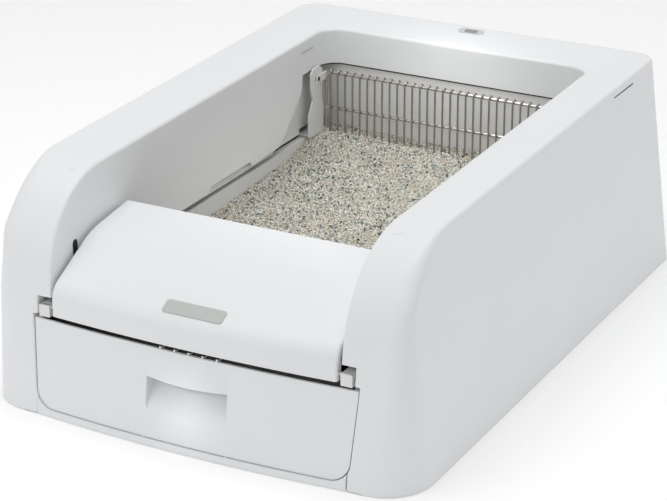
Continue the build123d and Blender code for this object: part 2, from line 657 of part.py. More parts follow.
def make_drawer_front():
    """Front panel with its returns, the visor, the scoop handle and the stiffening ribs."""
    outer = front_profile(drawer_outline(0), -20, PANEL_BACK_Y) & bowed_slab(FRONT_SET_BACK)
    hollow = front_profile(drawer_outline(-WALL), -20, PANEL_BACK_Y + 5)
    hollow = hollow + block(-DRAWER_BOTTOM_HALF, DRAWER_BOTTOM_HALF, -20, 60, 60, DRAWER_TOP_Z + 10)
    hollow = hollow & bowed_slab(FRONT_SET_BACK + WALL)
    panel = outer - hollow
    panel = panel + visor()
    cup = pocket(2.0) & bowed_slab(FRONT_SET_BACK + 0.5) & block(-100, 100, -20, PANEL_BACK_Y, 0, 100)
    panel = panel + cup
    panel = panel - pocket(0)
    for x in (-FRONT_SCREW_X, FRONT_SCREW_X):
        for z in FRONT_SCREW_Z:
            panel = panel + y_rod(x, drawer_face_y(x, z) + 1, PANEL_BACK_Y, z, FRONT_SCREW_R + 2.5)
            panel = panel - y_rod(x, PANEL_BACK_Y - 8, PANEL_BACK_Y, z, FRONT_SCREW_R)
    first = -(RIB_COUNT - 1) * RIB_PITCH / 2
    for n in range(RIB_COUNT):
        x = first + n * RIB_PITCH
        rib_y = drawer_face_y(x, DRAWER_TOP_Z) + 1.5
        half = RIB_T / 2
        panel = panel + block(x - half, x + half, rib_y, PANEL_BACK_Y, RIB_LOW_Z, DRAWER_TOP_Z - 0.2)
    return panel


def make_bin():
    """Open box behind the drawer front."""
    y0 = PANEL_BACK_Y
    outer = block(-BIN_HALF, BIN_HALF, y0, y0 + BIN_LENGTH, BIN_Z, BIN_RIM_Z)
    outer = fillet(outer.edges().filter_by(Axis.Z), 6)
    inner = block(-BIN_HALF + BIN_WALL, BIN_HALF - BIN_WALL, y0 + BIN_WALL, y0 + BIN_LENGTH - BIN_WALL,
                  BIN_Z + BIN_WALL, BIN_RIM_Z + 5)
    inner = fillet(inner.edges().filter_by(Axis.Z), 4)
    bin_box = outer - inner
    for x in (-FRONT_SCREW_X, FRONT_SCREW_X):
        for z in FRONT_SCREW_Z:
            bin_box = bin_box - y_rod(x, y0 - 1, y0 + BIN_WALL + 1, z, FRONT_SCREW_R)
    return bin_box


def make_liner_frame():
    """Ring that holds a bag over the rim of the bin."""
    y0 = PANEL_BACK_Y
    ring = block(-BIN_HALF, BIN_HALF, y0, y0 + BIN_LENGTH, BIN_RIM_Z, BIN_RIM_Z + LINER_T)
    hole = block(-BIN_HALF + LINER_W, BIN_HALF - LINER_W, y0 + LINER_W, y0 + BIN_LENGTH - LINER_W,
                 0, BIN_RIM_Z + 20)
    return fillet(ring.edges().filter_by(Axis.Z), 6) - hole


# ---------------------------------------------------------------- lid

def lid_body(inset, half, back_y, low_z):
    """Everything from low_z up to the lid's surface moved in by inset, behind its bowed nose."""
    level = LID_SLOPE_Z - LID_SLOPE * LID_SLOPE_Y - inset * math.hypot(1, LID_SLOPE)
    back_level = LID_BACK_Z - LID_BACK_SLOPE * LID_BACK_Y - inset * math.hypot(1, LID_BACK_SLOPE)
    crest_y = (back_level - level) / (LID_SLOPE - LID_BACK_SLOPE)
    crest_z = level + LID_SLOPE * crest_y
    y0 = -20.0
    face = make_face(Polyline(
        (y0, low_z), (y0, level + LID_SLOPE * y0), (crest_y, crest_z),
        (back_y, back_level + LID_BACK_SLOPE * back_y), (back_y, low_z), close=True))
    crest = face.vertices().sort_by_distance((crest_y, crest_z, 0))[0]
    face = fillet(crest, LID_CREST_R - inset)
    body = extrude(Pos(-half, 0, 0) * (Plane.YZ * face), 2 * half, dir=(1, 0, 0))
    end_y = LID_FRONT_Y + inset
    far = back_y + 10
    arc = ThreePointArc((-LID_HALF, end_y), (0, end_y - LID_BOW), (LID_HALF, end_y))
    back = Polyline((LID_HALF, end_y), (LID_HALF + 5, end_y), (LID_HALF + 5, far), (-LID_HALF - 5, far),
                    (-LID_HALF - 5, end_y), (-LID_HALF, end_y))
    body = body & extrude(Pos(0, 0, low_z - 5) * make_face(Curve() + [arc, back]), 200)
    nose_y = end_y - LID_BOW
    nose = body.edges().sort_by_distance((0, nose_y, level + LID_SLOPE * nose_y))[0]
    return fillet(nose, LID_NOSE_R - inset)


def make_lid():
    """Curved cover with a bowed nose, skirts at its sides and a boss round each hinge pin."""
    outer = lid_body(0, LID_HALF, LID_BACK_Y, LID_LOW_Z)
    rounded = []
    for edge in outer.edges():
        middle = edge.center()
        on_skin = middle.Z > lid_height(middle.Y) - 6 or middle.Y < LID_FRONT_Y + 0.5
        if abs(middle.X) > LID_HALF - 1 and on_skin and edge.length > 3:
            rounded.append(edge)
    outer = fillet(rounded, LID_EDGE_R)
    low = LID_LOW_Z - 20
    lid = outer - lid_body(LID_SKIRT, LID_HALF + 1, LID_BACK_Y + 1, low)
    lid = lid - lid_body(LID_WALL, LID_HALF - LID_WALL, LID_BACK_Y - LID_WALL, low)
    for side in SIDES:
        boss = x_rod(side * (LID_HALF - LID_BOSS_T), side * LID_HALF, HINGE_Y, HINGE_Z, LID_BOSS_R)
        lid = lid + (boss & outer)
        lid = lid - x_rod(side * LID_PIN_IN, side * (LID_HALF + 1), HINGE_Y, HINGE_Z, PIN_R)
    return lid


def lid_height(y):
    """Height of the lid's surface without its rounded nose and crest."""
    slope_z = LID_SLOPE_Z + LID_SLOPE * (y - LID_SLOPE_Y)
    back_z = LID_BACK_Z - LID_BACK_SLOPE * (LID_BACK_Y - y)
    return min(slope_z, back_z)


def on_lid_slope(shape, y, lift):
    """Place a flat piece on the lid's front slope: its bottom face lift above the surface."""
    z = LID_SLOPE_Z + LID_SLOPE * (y - LID_SLOPE_Y)
    angle = math.degrees(math.atan(LID_SLOPE))
    return Pos(0, y, z) * Rot(angle, 0, 0) * Pos(0, 0, lift) * shape


# ---------------------------------------------------------------- rake and its carriage

def make_rake():
    """Welded wire rake: the tines, two frame wires, two cross wires and a pivot tab at each end."""
    wire_y = PIVOT_Y + RAKE_SET_BACK
    reach = RAKE_SET_BACK + TINE_D / 2 + 0.3
    tip_z = PIVOT_Z - math.sqrt(RAKE_TIP_R ** 2 - reach ** 2)
    wires = rake_wire_x()
    cross_y = wire_y + TINE_D / 2 + FRAME_WIRE_D / 2 - 0.7
    frame_x = wires[-1]
    solids = []
    for x in wires[1:-1]:
        solids.append(z_rod(x, wire_y, tip_z, TOP_WIRE_Z + FRAME_WIRE_D / 2, TINE_D / 2))
    for side in SIDES:
        solids.append(z_rod(side * frame_x, cross_y - 0.5, tip_z + 0.8, TOP_WIRE_Z, FRAME_WIRE_D / 2))
    solids.append(x_rod(-frame_x, frame_x, cross_y, TOP_WIRE_Z, FRAME_WIRE_D / 2))
    solids.append(x_rod(-frame_x, frame_x, cross_y, MID_WIRE_Z, FRAME_WIRE_D / 2))
    for side in SIDES:
        x0 = side * (frame_x - 1.0)
        x1 = side * TAB_OUT_X
        tab = block(min(x0, x1), max(x0, x1), PIVOT_Y - 6, cross_y + 1, PIVOT_Z - 7, TOP_WIRE_Z + 2)
        solids.append(tab)
        solids.append(x_rod(x1 - side, side * (BRACKET_X + 1.0), PIVOT_Y, PIVOT_Z, SHAFT_R))
    rake = solids[0]
    return rake + solids[1:]


def make_bracket():
    """Right bracket: upright plate beside the rake, and a foot that passes over the tray's flange."""
    x0 = BRACKET_X - BRACKET_T
    foot_z = SLIDER_Z[1]
    outline = [(y, foot_z) for y in BRACKET_FOOT_Y]
    outline += [(PIVOT_Y + y, PIVOT_Z + z) for y, z in BRACKET_OUTLINE]
    plate = side_profile(outline, x0, BRACKET_X)
    foot = block(x0, BRACKET_SCREW_X + 5, SLIDER_Y[0] + 5, SLIDER_Y[1] - 7, foot_z, foot_z + BRACKET_T)
    bracket = plate + foot
    bracket = bracket - x_rod(x0 - 1, BRACKET_X + 1, PIVOT_Y, PIVOT_Z, SHAFT_R + BUSH_T)
    for y in BRACKET_SCREW_Y:
        bracket = bracket - z_rod(BRACKET_SCREW_X, y, foot_z - 1, foot_z + 5, BRACKET_SCREW_R)
    return bracket


def belt_low_z():
    """Under side of the belt's lower run."""
    return SHAFT_Z - PULLEY_R - BELT_GAP - BELT_T


def make_slider():
    """Right slider: block on the guide rod with a clamp round the belt's lower run."""
    low = belt_low_z()
    slider = block(*SLIDER_X, *SLIDER_Y, *SLIDER_Z)
    post_x = BELT_X[1] + 0.8
    slider = slider + block(post_x, SLIDER_X[1], SLIDER_Y[0], SLIDER_Y[1], SLIDER_Z[1] - 1, low + BELT_T + 3.2)
    for z0, z1 in ((low - 3.0, low - 0.3), (low + BELT_T + 0.3, low + BELT_T + 3.2)):
        slider = slider + block(BELT_X[0] - 1, post_x + 1, SLIDER_Y[0] + 6, SLIDER_Y[1] - 6, z0, z1)
    for y in BRACKET_SCREW_Y:
        slider = slider - z_rod(BRACKET_SCREW_X, y, SLIDER_Z[1] - 8, SLIDER_Z[1], BRACKET_SCREW_R)
    return slider - y_rod(ROD_X, SLIDER_Y[0] - 1, SLIDER_Y[1] + 1, ROD_Z, ROD_R + SLIDER_GAP)


# ---------------------------------------------------------------- drive

def make_belt():
    """Right belt round its two pulleys."""
    inner = PULLEY_R + BELT_GAP
    outer = inner + BELT_T
    middle = (SHAFT_Y + IDLER_Y) / 2
    length = SHAFT_Y - IDLER_Y
    ring = SlotCenterToCenter(length, 2 * outer) - SlotCenterToCenter(length, 2 * inner)
    placed = Pos(BELT_X[0], middle, SHAFT_Z) * (Plane.YZ * ring)
    return extrude(placed, BELT_X[1] - BELT_X[0], dir=(1, 0, 0))


def make_pulley(y, bore):
    """Right pulley with its flanges."""
    x0, x1 = BELT_X
    pulley = x_rod(x0, x1, y, SHAFT_Z, PULLEY_R)
    for a, b in ((x0 - 1.6, x0 - 0.4), (x1 + 0.4, x1 + 1.6)):
        pulley = pulley + x_rod(a, b, y, SHAFT_Z, PULLEY_R + 3)
    pulley = pulley + x_rod(x0 - 1, x1 + 1, y, SHAFT_Z, PULLEY_R)
    return pulley - x_rod(x0 - 5, x1 + 5, y, SHAFT_Z, bore)


def gear_face(teeth, phase):
    """Gear outline with straight-flanked teeth, one tooth centred at the phase angle."""
    pitch_r = GEAR_MODULE * teeth / 2
    root = pitch_r - 1.25 * GEAR_MODULE
    tip = pitch_r + 0.9 * GEAR_MODULE
    step = 2 * math.pi / teeth
    points = []
    for n in range(teeth):
        centre = math.radians(phase) + n * step
        for radius, width in ((root, 0.34), (pitch_r, 0.22), (tip, 0.10)):
            points.append((radius, centre - width * step))
        for radius, width in ((tip, 0.10), (pitch_r, 0.22), (root, 0.34)):
            points.append((radius, centre + width * step))
    return make_face(Polyline(*[(r * math.cos(a), r * math.sin(a)) for r, a in points], close=True))


def make_gear(teeth, phase, y, z, bore):
    """Gear on an axis along X."""
    placed = Pos(GEAR_X[0], y, z) * (Plane.YZ * gear_face(teeth, phase))
    gear = extrude(placed, GEAR_X[1] - GEAR_X[0], dir=(1, 0, 0))
    return gear - x_rod(GEAR_X[0] - 2, GEAR_X[1] + 2, y, z, bore)


def below_back_rim(shape, lift):
    """The shape, cut off along the rear rim's slope, lift above its surface."""
    y0 = BUTTON_Y - 60
    y1 = BUTTON_Y + 60
    room = [(y0, 0), (y0, back_rim_height(y0) + lift), (y1, back_rim_height(y1) + lift), (y1, 0)]
    return shape & side_profile(room, -WIDTH, WIDTH)


def rounded_block(size_x, size_y, radius, x, y, z0, z1):
    """Upright block with rounded corners in plan."""
    return Pos(x, y, z0) * extrude(RectangleRounded(size_x, size_y, radius), z1 - z0)


# ---------------------------------------------------------------- pieces of the base

save(make_hood(), "hood")
save(make_pan(), "base_pan")
save(make_tray(), "litter_tray")
save(make_litter(), "litter_bed")
save(make_rear_housing(), "rear_housing")

hinge_block = block(HINGE_BLOCK_IN, HINGE_BLOCK_OUT, *HINGE_BLOCK_Y, *HINGE_BLOCK_Z)
hinge_block = hinge_block - x_rod(HINGE_BLOCK_IN - 1, HINGE_BLOCK_OUT + 1, HINGE_Y, HINGE_Z, PIN_R + PIN_GAP)
save(Part() + both_sides(hinge_block), "hinge_blocks")

guide = block(*GUIDE_X, PANEL_BACK_Y + 1, GUIDE_BACK_Y, PAN_FLOOR_Z, HINGE_BLOCK_Z[0])
save(Part() + both_sides(guide), "drawer_guides")
bay_wall = block(-BAY_WALL_HALF, BAY_WALL_HALF, BAY_WALL_Y, BAY_WALL_Y + WALL, PAN_FLOOR_Z, TRAY_RIM_Z)
save(bay_wall, "bay_wall")

save(Part() + both_sides(guide_rod()), "guide_rods")
rod_holders = []
for y0, y1 in ROD_HOLDER_Y:
    rod_holders += both_sides(make_rod_holder(y0, y1))
save(Part() + rod_holders, "rod_holders")
save(Part() + both_sides(make_bearing_post()), "bearing_posts")

right_belt = make_belt()
save(right_belt, "belt_right")
save(mirror(right_belt, Plane.YZ), "belt_left")

idler_bracket = block(*IDLER_POST_X, *IDLER_POST_Y, PAN_FLOOR_Z, SHAFT_Z + 8)
idler_bracket = idler_bracket + x_rod(BELT_X[0] - 2, IDLER_POST_X[0] + 1, IDLER_Y, SHAFT_Z, SHAFT_R)
save(Part() + both_sides(idler_bracket), "idler_brackets")

bushes = []
for x0, x1 in (BEARING_POST_X, (-BEARING_POST_X[1], -BEARING_POST_X[0]), MOTOR_PLATE_X):
    bush = x_rod(x0, x1, SHAFT_Y, SHAFT_Z, BUSH_R) - x_rod(x0, x1, SHAFT_Y, SHAFT_Z, SHAFT_R + PIN_GAP)
    bushes.append(bush)
save(Part() + bushes, "shaft_bushes")

plate = block(*MOTOR_PLATE_X, SHAFT_Y - MOTOR_R - 5, SHAFT_Y + MOTOR_R + 5, PAN_FLOOR_Z, SHAFT_Z + 16)
plate = plate - x_rod(*MOTOR_PLATE_X, SHAFT_Y, SHAFT_Z, BUSH_R)
plate = plate - x_rod(*MOTOR_PLATE_X, SHAFT_Y, MOTOR_Z, PINION_TEETH * GEAR_MODULE / 4)
save(plate, "motor_plate")

motor_face = MOTOR_PLATE_X[0]
motor = x_rod(motor_face - MOTOR_LENGTH, motor_face, SHAFT_Y, MOTOR_Z, MOTOR_R)
motor = chamfer(motor.edges().filter_by(GeomType.CIRCLE), 1.5)
motor = motor + x_rod(motor_face - MOTOR_LENGTH - 4, motor_face - MOTOR_LENGTH + 1, SHAFT_Y, MOTOR_Z, 5)
motor = motor - x_rod(motor_face - 12, motor_face + 1, SHAFT_Y, MOTOR_Z, SHAFT_R + PIN_GAP)
save(motor, "motor")

board_x, board_y = STANDOFF_X[0], STANDOFF_Y[0]
board = block(board_x - 6, STANDOFF_X[1] + 6, board_y - 6, STANDOFF_Y[1] + 5, BOARD_Z, BOARD_Z + BOARD_T)
board_top = BOARD_Z + BOARD_T
board = board + block(board_x + 28, board_x + 44, board_y + 10, board_y + 26, board_top, board_top + 2)
board = board + block(board_x + 52, board_x + 70, board_y + 8, board_y + 22, board_top, board_top + 11)
for y in (board_y + 16, board_y + 29):
    board = board + z_rod(board_x + 14, y, board_top, board_top + 14, 5)
save(board, "control_board")

jack = block(JACK_X - JACK_HALF, JACK_X + JACK_HALF, JACK_Y0, JACK_Y0 + 13, JACK_Z - 6, JACK_Z + 6)
jack = jack + y_rod(JACK_X, JACK_Y0 + 12, LENGTH - REAR_LEAN * JACK_Z - 0.6, JACK_Z, JACK_R)
jack = jack - y_rod(JACK_X, JACK_Y0 + 10, LENGTH, JACK_Z, 2.85)
jack = jack + y_rod(JACK_X, JACK_Y0 + 9, LENGTH - REAR_LEAN * JACK_Z - 2, JACK_Z, 1.05)
save(jack, "power_inlet")

feet = [z_rod(side * FOOT_X, y, 0, FOOT_H, FOOT_R) for side in SIDES for y in FOOT_Y]
save(Part() + feet, "feet")

screws = []
for side in SIDES:
    for y in POST_Y:
        head = z_rod(side * POST_X, y, *SCREW_HEAD_Z, SCREW_HEAD_R)
        shank = z_rod(side * POST_X, y, SCREW_HEAD_Z[1] - 0.5, POST_Z + SCREW_GRIP - 2, SCREW_R)
        screws.append(head + shank)
save(Part() + screws, "hood_screws")

lens_x = inner_half(SENSOR_TOP_Z) + WALL + 0.3
lens = block(lens_x, lens_x + 2, SENSOR_Y - 8, SENSOR_Y + 8, NOTCH_TOP_Z + 6, SENSOR_TOP_Z + 3)
save(Part() + both_sides(lens), "sensor_lenses")

plugs = []
for x, y in PLUG_PLACES:
    plug = oval_hole(x, y, PLUG_SIZE[0] - 0.4, PLUG_SIZE[1] - 0.4, 200, 300)
    plugs += both_sides((plug & top_envelope(-0.25)) - top_envelope(PLUG_DEPTH))
save(Part() + plugs, "rim_plugs")

switch_low = ROD_Z - ROD_R - 12
limit_switches = [
    block(-ROD_X - 6, -ROD_X + 6, ROD_HOLDER_Y[1][0] - 12, ROD_HOLDER_Y[1][0], switch_low, switch_low + 10),
    block(-ROD_X - 6, -ROD_X + 6, ROD_HOLDER_Y[0][1], ROD_HOLDER_Y[0][1] + 8, switch_low, switch_low + 10)]
save(Part() + limit_switches, "limit_switches")

bezel_low = SWITCH_BOARD_Z + 12.3
bezel = oval_hole(0, BUTTON_Y, BEZEL_SIZE[0] - 0.3, BEZEL_SIZE[1] - 0.3, bezel_low, 300)
bezel = below_back_rim(bezel, 0.4)
bezel = bezel - rounded_block(BUTTON_SIZE[0] + 2 * BUTTON_GAP, BUTTON_SIZE[1] + 2 * BUTTON_GAP, 3.3,
                              0, BUTTON_Y, 200, 300)
save(bezel, "button_bezel")

switch_board = block(-24, 24, BUTTON_Y - 13, BUTTON_Y + 9, SWITCH_BOARD_Z, SWITCH_BOARD_Z + BOARD_T)
save(switch_board, "switch_board")
switch_top = SWITCH_BOARD_Z + BOARD_T + 4
save(block(-4, 4, BUTTON_Y - 4, BUTTON_Y + 4, SWITCH_BOARD_Z + BOARD_T, switch_top), "button_switch")

# ---------------------------------------------------------------- button

button_low = bezel_low - BUTTON_GAP - 2
button = rounded_block(*BUTTON_SIZE, 3, 0, BUTTON_Y, button_low, 300)
button = below_back_rim(button, 0.2)
button = button + block(-9, 9, BUTTON_Y - 5, BUTTON_Y + 5, button_low, button_low + 2)
save(button, "button")
dome = Pos(0, BUTTON_Y, (switch_top + button_low) / 2) * Cone(3.6, 2.2, button_low - switch_top)
save(dome, "button_dome")

# ---------------------------------------------------------------- drawer and lid

save(make_drawer_front(), "drawer_front")
save(make_bin(), "drawer_bin")
save(make_liner_frame(), "liner_frame")
glide = block(GLIDE_X - 5, GLIDE_X + 5, PANEL_BACK_Y + 4, PANEL_BACK_Y + BIN_LENGTH - 4, SILL_Z + 0.3, BIN_Z)
save(Part() + both_sides(glide), "drawer_glides")
front_screws = []
for x in (-FRONT_SCREW_X, FRONT_SCREW_X):
    for z in FRONT_SCREW_Z:
        y = PANEL_BACK_Y + BIN_WALL
        shank = y_rod(x, PANEL_BACK_Y - 7, y + 0.5, z, FRONT_SCREW_R)
        front_screws.append(shank + y_rod(x, y, y + 2, z, FRONT_SCREW_R + 1.5))
save(Part() + front_screws, "front_screws")

save(make_lid(), "lid")
pins = [x_rod(side * LID_PIN_IN, side * (HINGE_BLOCK_OUT - 2), HINGE_Y, HINGE_Z, PIN_R) for side in SIDES]
save(Part() + pins, "lid_pins")
badge_plate = extrude(RectangleRounded(BADGE_SIZE[0], BADGE_SIZE[1], 3), BADGE_SIZE[2])
save(on_lid_slope(badge_plate, BADGE_Y, 0), "badge_plate")
sx, sy, sz = FILTER_SIZE
holder = Pos(0, 0, -LID_WALL - sz / 2) * (Box(sx, sy, sz) - Pos(0, 0, 1) * Box(sx - 4, sy - 4, sz))
holder = holder - Pos(0, 0, -LID_WALL - sz) * Box(sx - 20, sy - 16, 6)
save(on_lid_slope(holder, FILTER_Y, 0), "filter_holder")
carbon = Pos(0, 0, -LID_WALL - (sz - 1.5) / 2 - 0.2) * Box(sx - 5, sy - 5, sz - 2.0)
save(on_lid_slope(carbon, FILTER_Y, 0), "carbon_filter")

# ---------------------------------------------------------------- rake carriage and rake

right_slider = make_slider()
save(right_slider, "slider_right")
save(mirror(right_slider, Plane.YZ), "slider_left")
right_bracket = make_bracket()
save(right_bracket, "bracket_right")
save(mirror(right_bracket, Plane.YZ), "bracket_left")
bracket_screws = []
for y in BRACKET_SCREW_Y:
    z = SLIDER_Z[1]
    shank = z_rod(BRACKET_SCREW_X, y, z - 7, z + BRACKET_T + 0.5, BRACKET_SCREW_R)
    bracket_screws += both_sides(shank + z_rod(BRACKET_SCREW_X, y, z + BRACKET_T, z + BRACKET_T + 1.4, 3))
save(Part() + bracket_screws, "bracket_screws")
bush = x_rod(BRACKET_X - BRACKET_T, BRACKET_X, PIVOT_Y, PIVOT_Z, SHAFT_R + BUSH_T)
bush = bush - x_rod(BRACKET_X - 5, BRACKET_X + 1, PIVOT_Y, PIVOT_Z, SHAFT_R + PIN_GAP)
save(Part() + both_sides(bush), "pivot_bushes")
save(make_rake(), "rake")

# ---------------------------------------------------------------- drive

save(x_rod(-BELT_X[1] - 3, BELT_X[1] + 3, SHAFT_Y, SHAFT_Z, SHAFT_R), "drive_shaft")
drive_pulley = make_pulley(SHAFT_Y, SHAFT_R)
save(drive_pulley, "pulley_right")
save(mirror(drive_pulley, Plane.YZ), "pulley_left")
save(make_gear(GEAR_TEETH, -90 + 180 / GEAR_TEETH, SHAFT_Y, SHAFT_Z, SHAFT_R), "drive_gear")
pinion = make_gear(PINION_TEETH, 90, SHAFT_Y, MOTOR_Z, SHAFT_R)
pinion = pinion + x_rod(MOTOR_PLATE_X[0] - 10, GEAR_X[1], SHAFT_Y, MOTOR_Z, SHAFT_R)
save(pinion, "motor_pinion")
idler = make_pulley(IDLER_Y, SHAFT_R + PIN_GAP)
save(idler, "idler_right")
save(mirror(idler, Plane.YZ), "idler_left")
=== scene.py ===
"""Looks of the self-raking litter box: shell, litter, rake, finishes, light and camera.

Sizes are in millimetres, with y = 0 at the front face on the floor, until row_point() turns them into
the frame's metres.
"""

import json
import math
import random

import bmesh
import bpy
import numpy as np
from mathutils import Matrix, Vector, noise


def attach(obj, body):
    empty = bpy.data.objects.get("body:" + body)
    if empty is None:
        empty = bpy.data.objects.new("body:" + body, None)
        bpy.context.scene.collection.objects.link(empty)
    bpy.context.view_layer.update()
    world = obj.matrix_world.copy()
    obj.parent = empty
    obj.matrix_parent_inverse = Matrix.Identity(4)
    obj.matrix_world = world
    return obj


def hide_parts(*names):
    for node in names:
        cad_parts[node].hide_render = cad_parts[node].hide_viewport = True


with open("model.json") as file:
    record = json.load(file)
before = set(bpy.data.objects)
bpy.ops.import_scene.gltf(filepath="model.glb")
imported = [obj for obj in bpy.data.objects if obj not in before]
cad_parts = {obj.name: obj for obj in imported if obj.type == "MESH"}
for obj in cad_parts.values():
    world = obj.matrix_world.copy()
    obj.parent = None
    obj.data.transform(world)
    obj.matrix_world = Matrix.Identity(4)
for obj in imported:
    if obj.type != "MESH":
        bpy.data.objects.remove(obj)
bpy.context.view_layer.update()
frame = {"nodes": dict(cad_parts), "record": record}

# ---------------------------------------------------------------- sizes of the hood

MM = 0.001
WIDTH = 480.0
LENGTH = 685.0
CENTRE_Y = 337.7             # where the frame's origin lies
WALL = 2.6
FLOOR_GAP = 0.8
FRONT_LEAN = 0.11
REAR_LEAN = 0.129
SIDE_LEAN = 0.078
FRONT_CORNERS = ((-40.0, 59.3), (120.0, 22.0), (270.0, 14.0))     # z and radius of the front corners
REAR_CORNER_R = 22.0
HEM_Z = 12.0                 # top of the wall's turned-in foot

OPENING_HALF = 164.0
OPENING_BACK = 595.0
OPENING_CORNER_R = 22.0
INNER_SET_IN = 3.0
INNER_DRAFT = 0.028
INNER_WALL_Z = 128.0
INNER_BACK_Z = 198.0
RAKE_BAY_Y = 532.0
RIM_Z = 231.0
RIM_RISE = 0.0135
RIM_SLOPE = 0.135
BACK_RIM_SLOPE = 0.148
LEG_ARC_R = 100.0
LOWER_EDGE = ((60, 122.8), (61, 128), (318, 128), (323, 134), (408, 134), (413, 128), (474, 130), (490, 141),
              (527, 175), (532, 184))          # y and z along the inner side wall's lower edge

OUTER_EDGE = 3.5             # rounding of the rim's outer edge
ARC_EDGE = 33.0              # and of the leg's outer edge where its arc starts
ARC_EDGE_FADE = 0.95         # share of the arc over which that rounding fades
INNER_EDGE = 3.0
LEG_FRONT_EDGE = 1.8
MITRE_BLEND = 1.2
LEG_TUCK = 2.2               # how far the leg's lower inner edge leans forward
LEG_TUCK_Y = 17.8            # where that lean starts
LEG_TUCK_REACH = 30.0

NOTCH_HALF = 176.0
NOTCH_TOP_Z = 123.0
NOTCH_LOW_Z = 104.2
NOTCH_BACK_Y = 60.0
LEG_RETURN_Y = 26.0
DRAWER_SIDE_TOP = 181.0      # the leg's inner edge beside the drawer
DRAWER_SIDE_LOW = 174.6
DRAWER_LOW_Z = 7.1
DRAWER_HIGH_Z = 100.2
DRAWER_CORNER_R = 21.0
DRAWER_CORNER_SHARE = 0.21   # of the edge's lean, at the corner's centre
SILL_HALF = 173.2

# the lines that the hood's skin is built on
FRONT_STEPS = 6
ARC_STEPS = 26
FLAT_Y = (130, 160, 210, 265, 318, 323, 365, 408, 413, 445, 474, 481, 490, 508, 527, RAKE_BAY_Y)
REAR_Q = (0.02, 0.3, 0.6, 0.9, 1.0, *[1 + n / 10 for n in range(1, 11)], 2.15, 2.4, 2.65, 2.85, 2.933, 3.0)
ACROSS = (0, 0.03, 0.089, 0.19, 0.298, 0.5, 0.75, 0.92, 0.97, 1)
BEZEL_CELLS = (2, 3)         # cells of the last strip that the button's bezel covers
LOW_LEVELS = (FLOOR_GAP, 5, 10, 15, 18, 21, 24, 28, 50, 70, 90, DRAWER_HIGH_Z, NOTCH_LOW_Z)
NOTCH_LEVELS = (NOTCH_LOW_Z, 112, NOTCH_TOP_Z)

# ---------------------------------------------------------------- sizes of the rake, litter and trim

PIVOT_Y = 560.0
PIVOT_Z = 187.0
TOP_WIRE_Z = 191.0
MID_WIRE_Z = 148.0
WIRE_Y = 575.0               # plane of the tines
RAKE_HALF = 155.5
TINE_HALF = 148.8
TINE_COUNT = 32
TINE_R = 1.2
FRAME_R = 2.0
FRAME_BEND_R = 9.0
WELD_DEPTH = 0.25            # how far a tine sinks into the top wire
HOOK_SWAY = 1.2              # sideways lean of each hook
RAKE_TIP_Z = 27.9
CROSS_Y = WIRE_Y + TINE_R + FRAME_R
ARM_X = (RAKE_HALF + 0.4, 157.4)
ARM_HALF = 4.5
STUB_X = (RAKE_HALF + 0.2, 161.2)
STUB_R = 2.6

TRAY_HALF = 165.7
LITTER_FRONT_Y = 154.6
LITTER_BACK_Y = 597.3
LITTER_PROFILE = ((154.0, 97.0), (330.0, 97.0), (410.0, 101.0), (474.0, 103.5), (521.0, 107.0),
                  (548.0, 114.0), (575.0, 118.0), (600.0, 118.0))
HEAP_Z = 5.0                 # extra height in the rear left corner
HOLLOWS = ((38, 0, 1.8), (11, 50, 0.8))        # width, place in the noise and height of the litter's hollows
GRANULE_STEP = 2.1
GRANULE_HALF = 0.62
GRANULE_SCATTER = 0.9

# black patches where the slots are: painted shade in place of the openings
COVER_SLOT = ((523, 235.8), (578, 235.8), (578, 237.2), (523, 237.2))       # y and z of its corners
# grey patches of the inner walls: painted shade of slits
INNER_SLIT = ((532, 222.6), (561, 222.6), (561, 225.4), (532, 225.4))
SENSOR_FOOT = ((57.0, 131.0), (65.5, 131.0))
SENSOR_TOP = (61.2, 163.5)   # centre of the sensor slot's round end
SENSOR_R = 4.3
PATCH_LIFT = 0.12            # how far a slot's face stands off its wall

SCREENS = ((166.4, 76, 470, 142), (171.7, 470, 540, 129.5))       # x, y range and top of each screen
SCREEN_LOW_Z = 122.4
# black strips in the drawer's side gaps, which paint the shade there
GAP_SHADE_LEVELS = (8, 12, 16, 20, 24, 28, 50, 75, 98.6)
GAP_SHADE_DEPTH = 2.7
GAP_SHADE_X = (0.85, 0.02)        # distances from the leg's edge
# black sheet behind the drawer's top edge, which paints the shade below the lid
SHADE_HALF = 170.0
SHADE_Z = 98.7
SHADE_BACK_Y = 25.5
SHADE_FRONT_Y = 2.7          # behind the drawer's face
DRAWER_TOP_Z = 99.2
DRAWER_SET_BACK = 2.0
DRAWER_BOW = 6.8
DRAWER_HALF = 180.0
# black strip under the rake bay's rim, which paints a shadow line
GAP_Z = (196.3, INNER_BACK_Z + 0.3)
GAP_SET_BACK = 0.7

RIB_PITCH = 15.7             # ribs of the drawer's top edge
RIB_HALF = 0.8
RIB_SIDE = ((6.6, 98.9), (9.4, 98.9), (9.4, 100.6), (8.2, 101.2), (6.6, 101.9))       # y and z

STAGE_HALF = 5000.0
STAGE_DROP = 0.1
STAGE_PROFILE = ((-4000, 0), (2500, 0), (3300, 120), (3900, 700), (4100, 1500), (4100, 4500))
FLOOR_GLOW = 0.14            # lifts the studio floor to paper white
SKY = 0.48                   # strength of the even surroundings

IMAGE_WIDTH, IMAGE_HEIGHT = 667, 501
CAMERA_PLACE = (1086.95, -1749.11, 1071.92)
CAMERA_YAW, CAMERA_PITCH = 28.0206, 22.7220
CAMERA_FOCAL = 2390.657      # in pixels of the image
CAMERA_AXIS = (329.633, 249.189)               # where the line of sight meets the image
SENSOR_WIDTH = 36.0

SHARP_ANGLE = 38.0
MERGE = 2e-5


def row_point(x, y, z):
    """A point in millimetres as a place in the frame, in metres."""
    return Vector((x * MM, (y - CENTRE_Y) * MM, z * MM))


def mix(a, b, share):
    """The value that lies that share of the way from a to b."""
    return a + (b - a) * share


# ---------------------------------------------------------------- materials

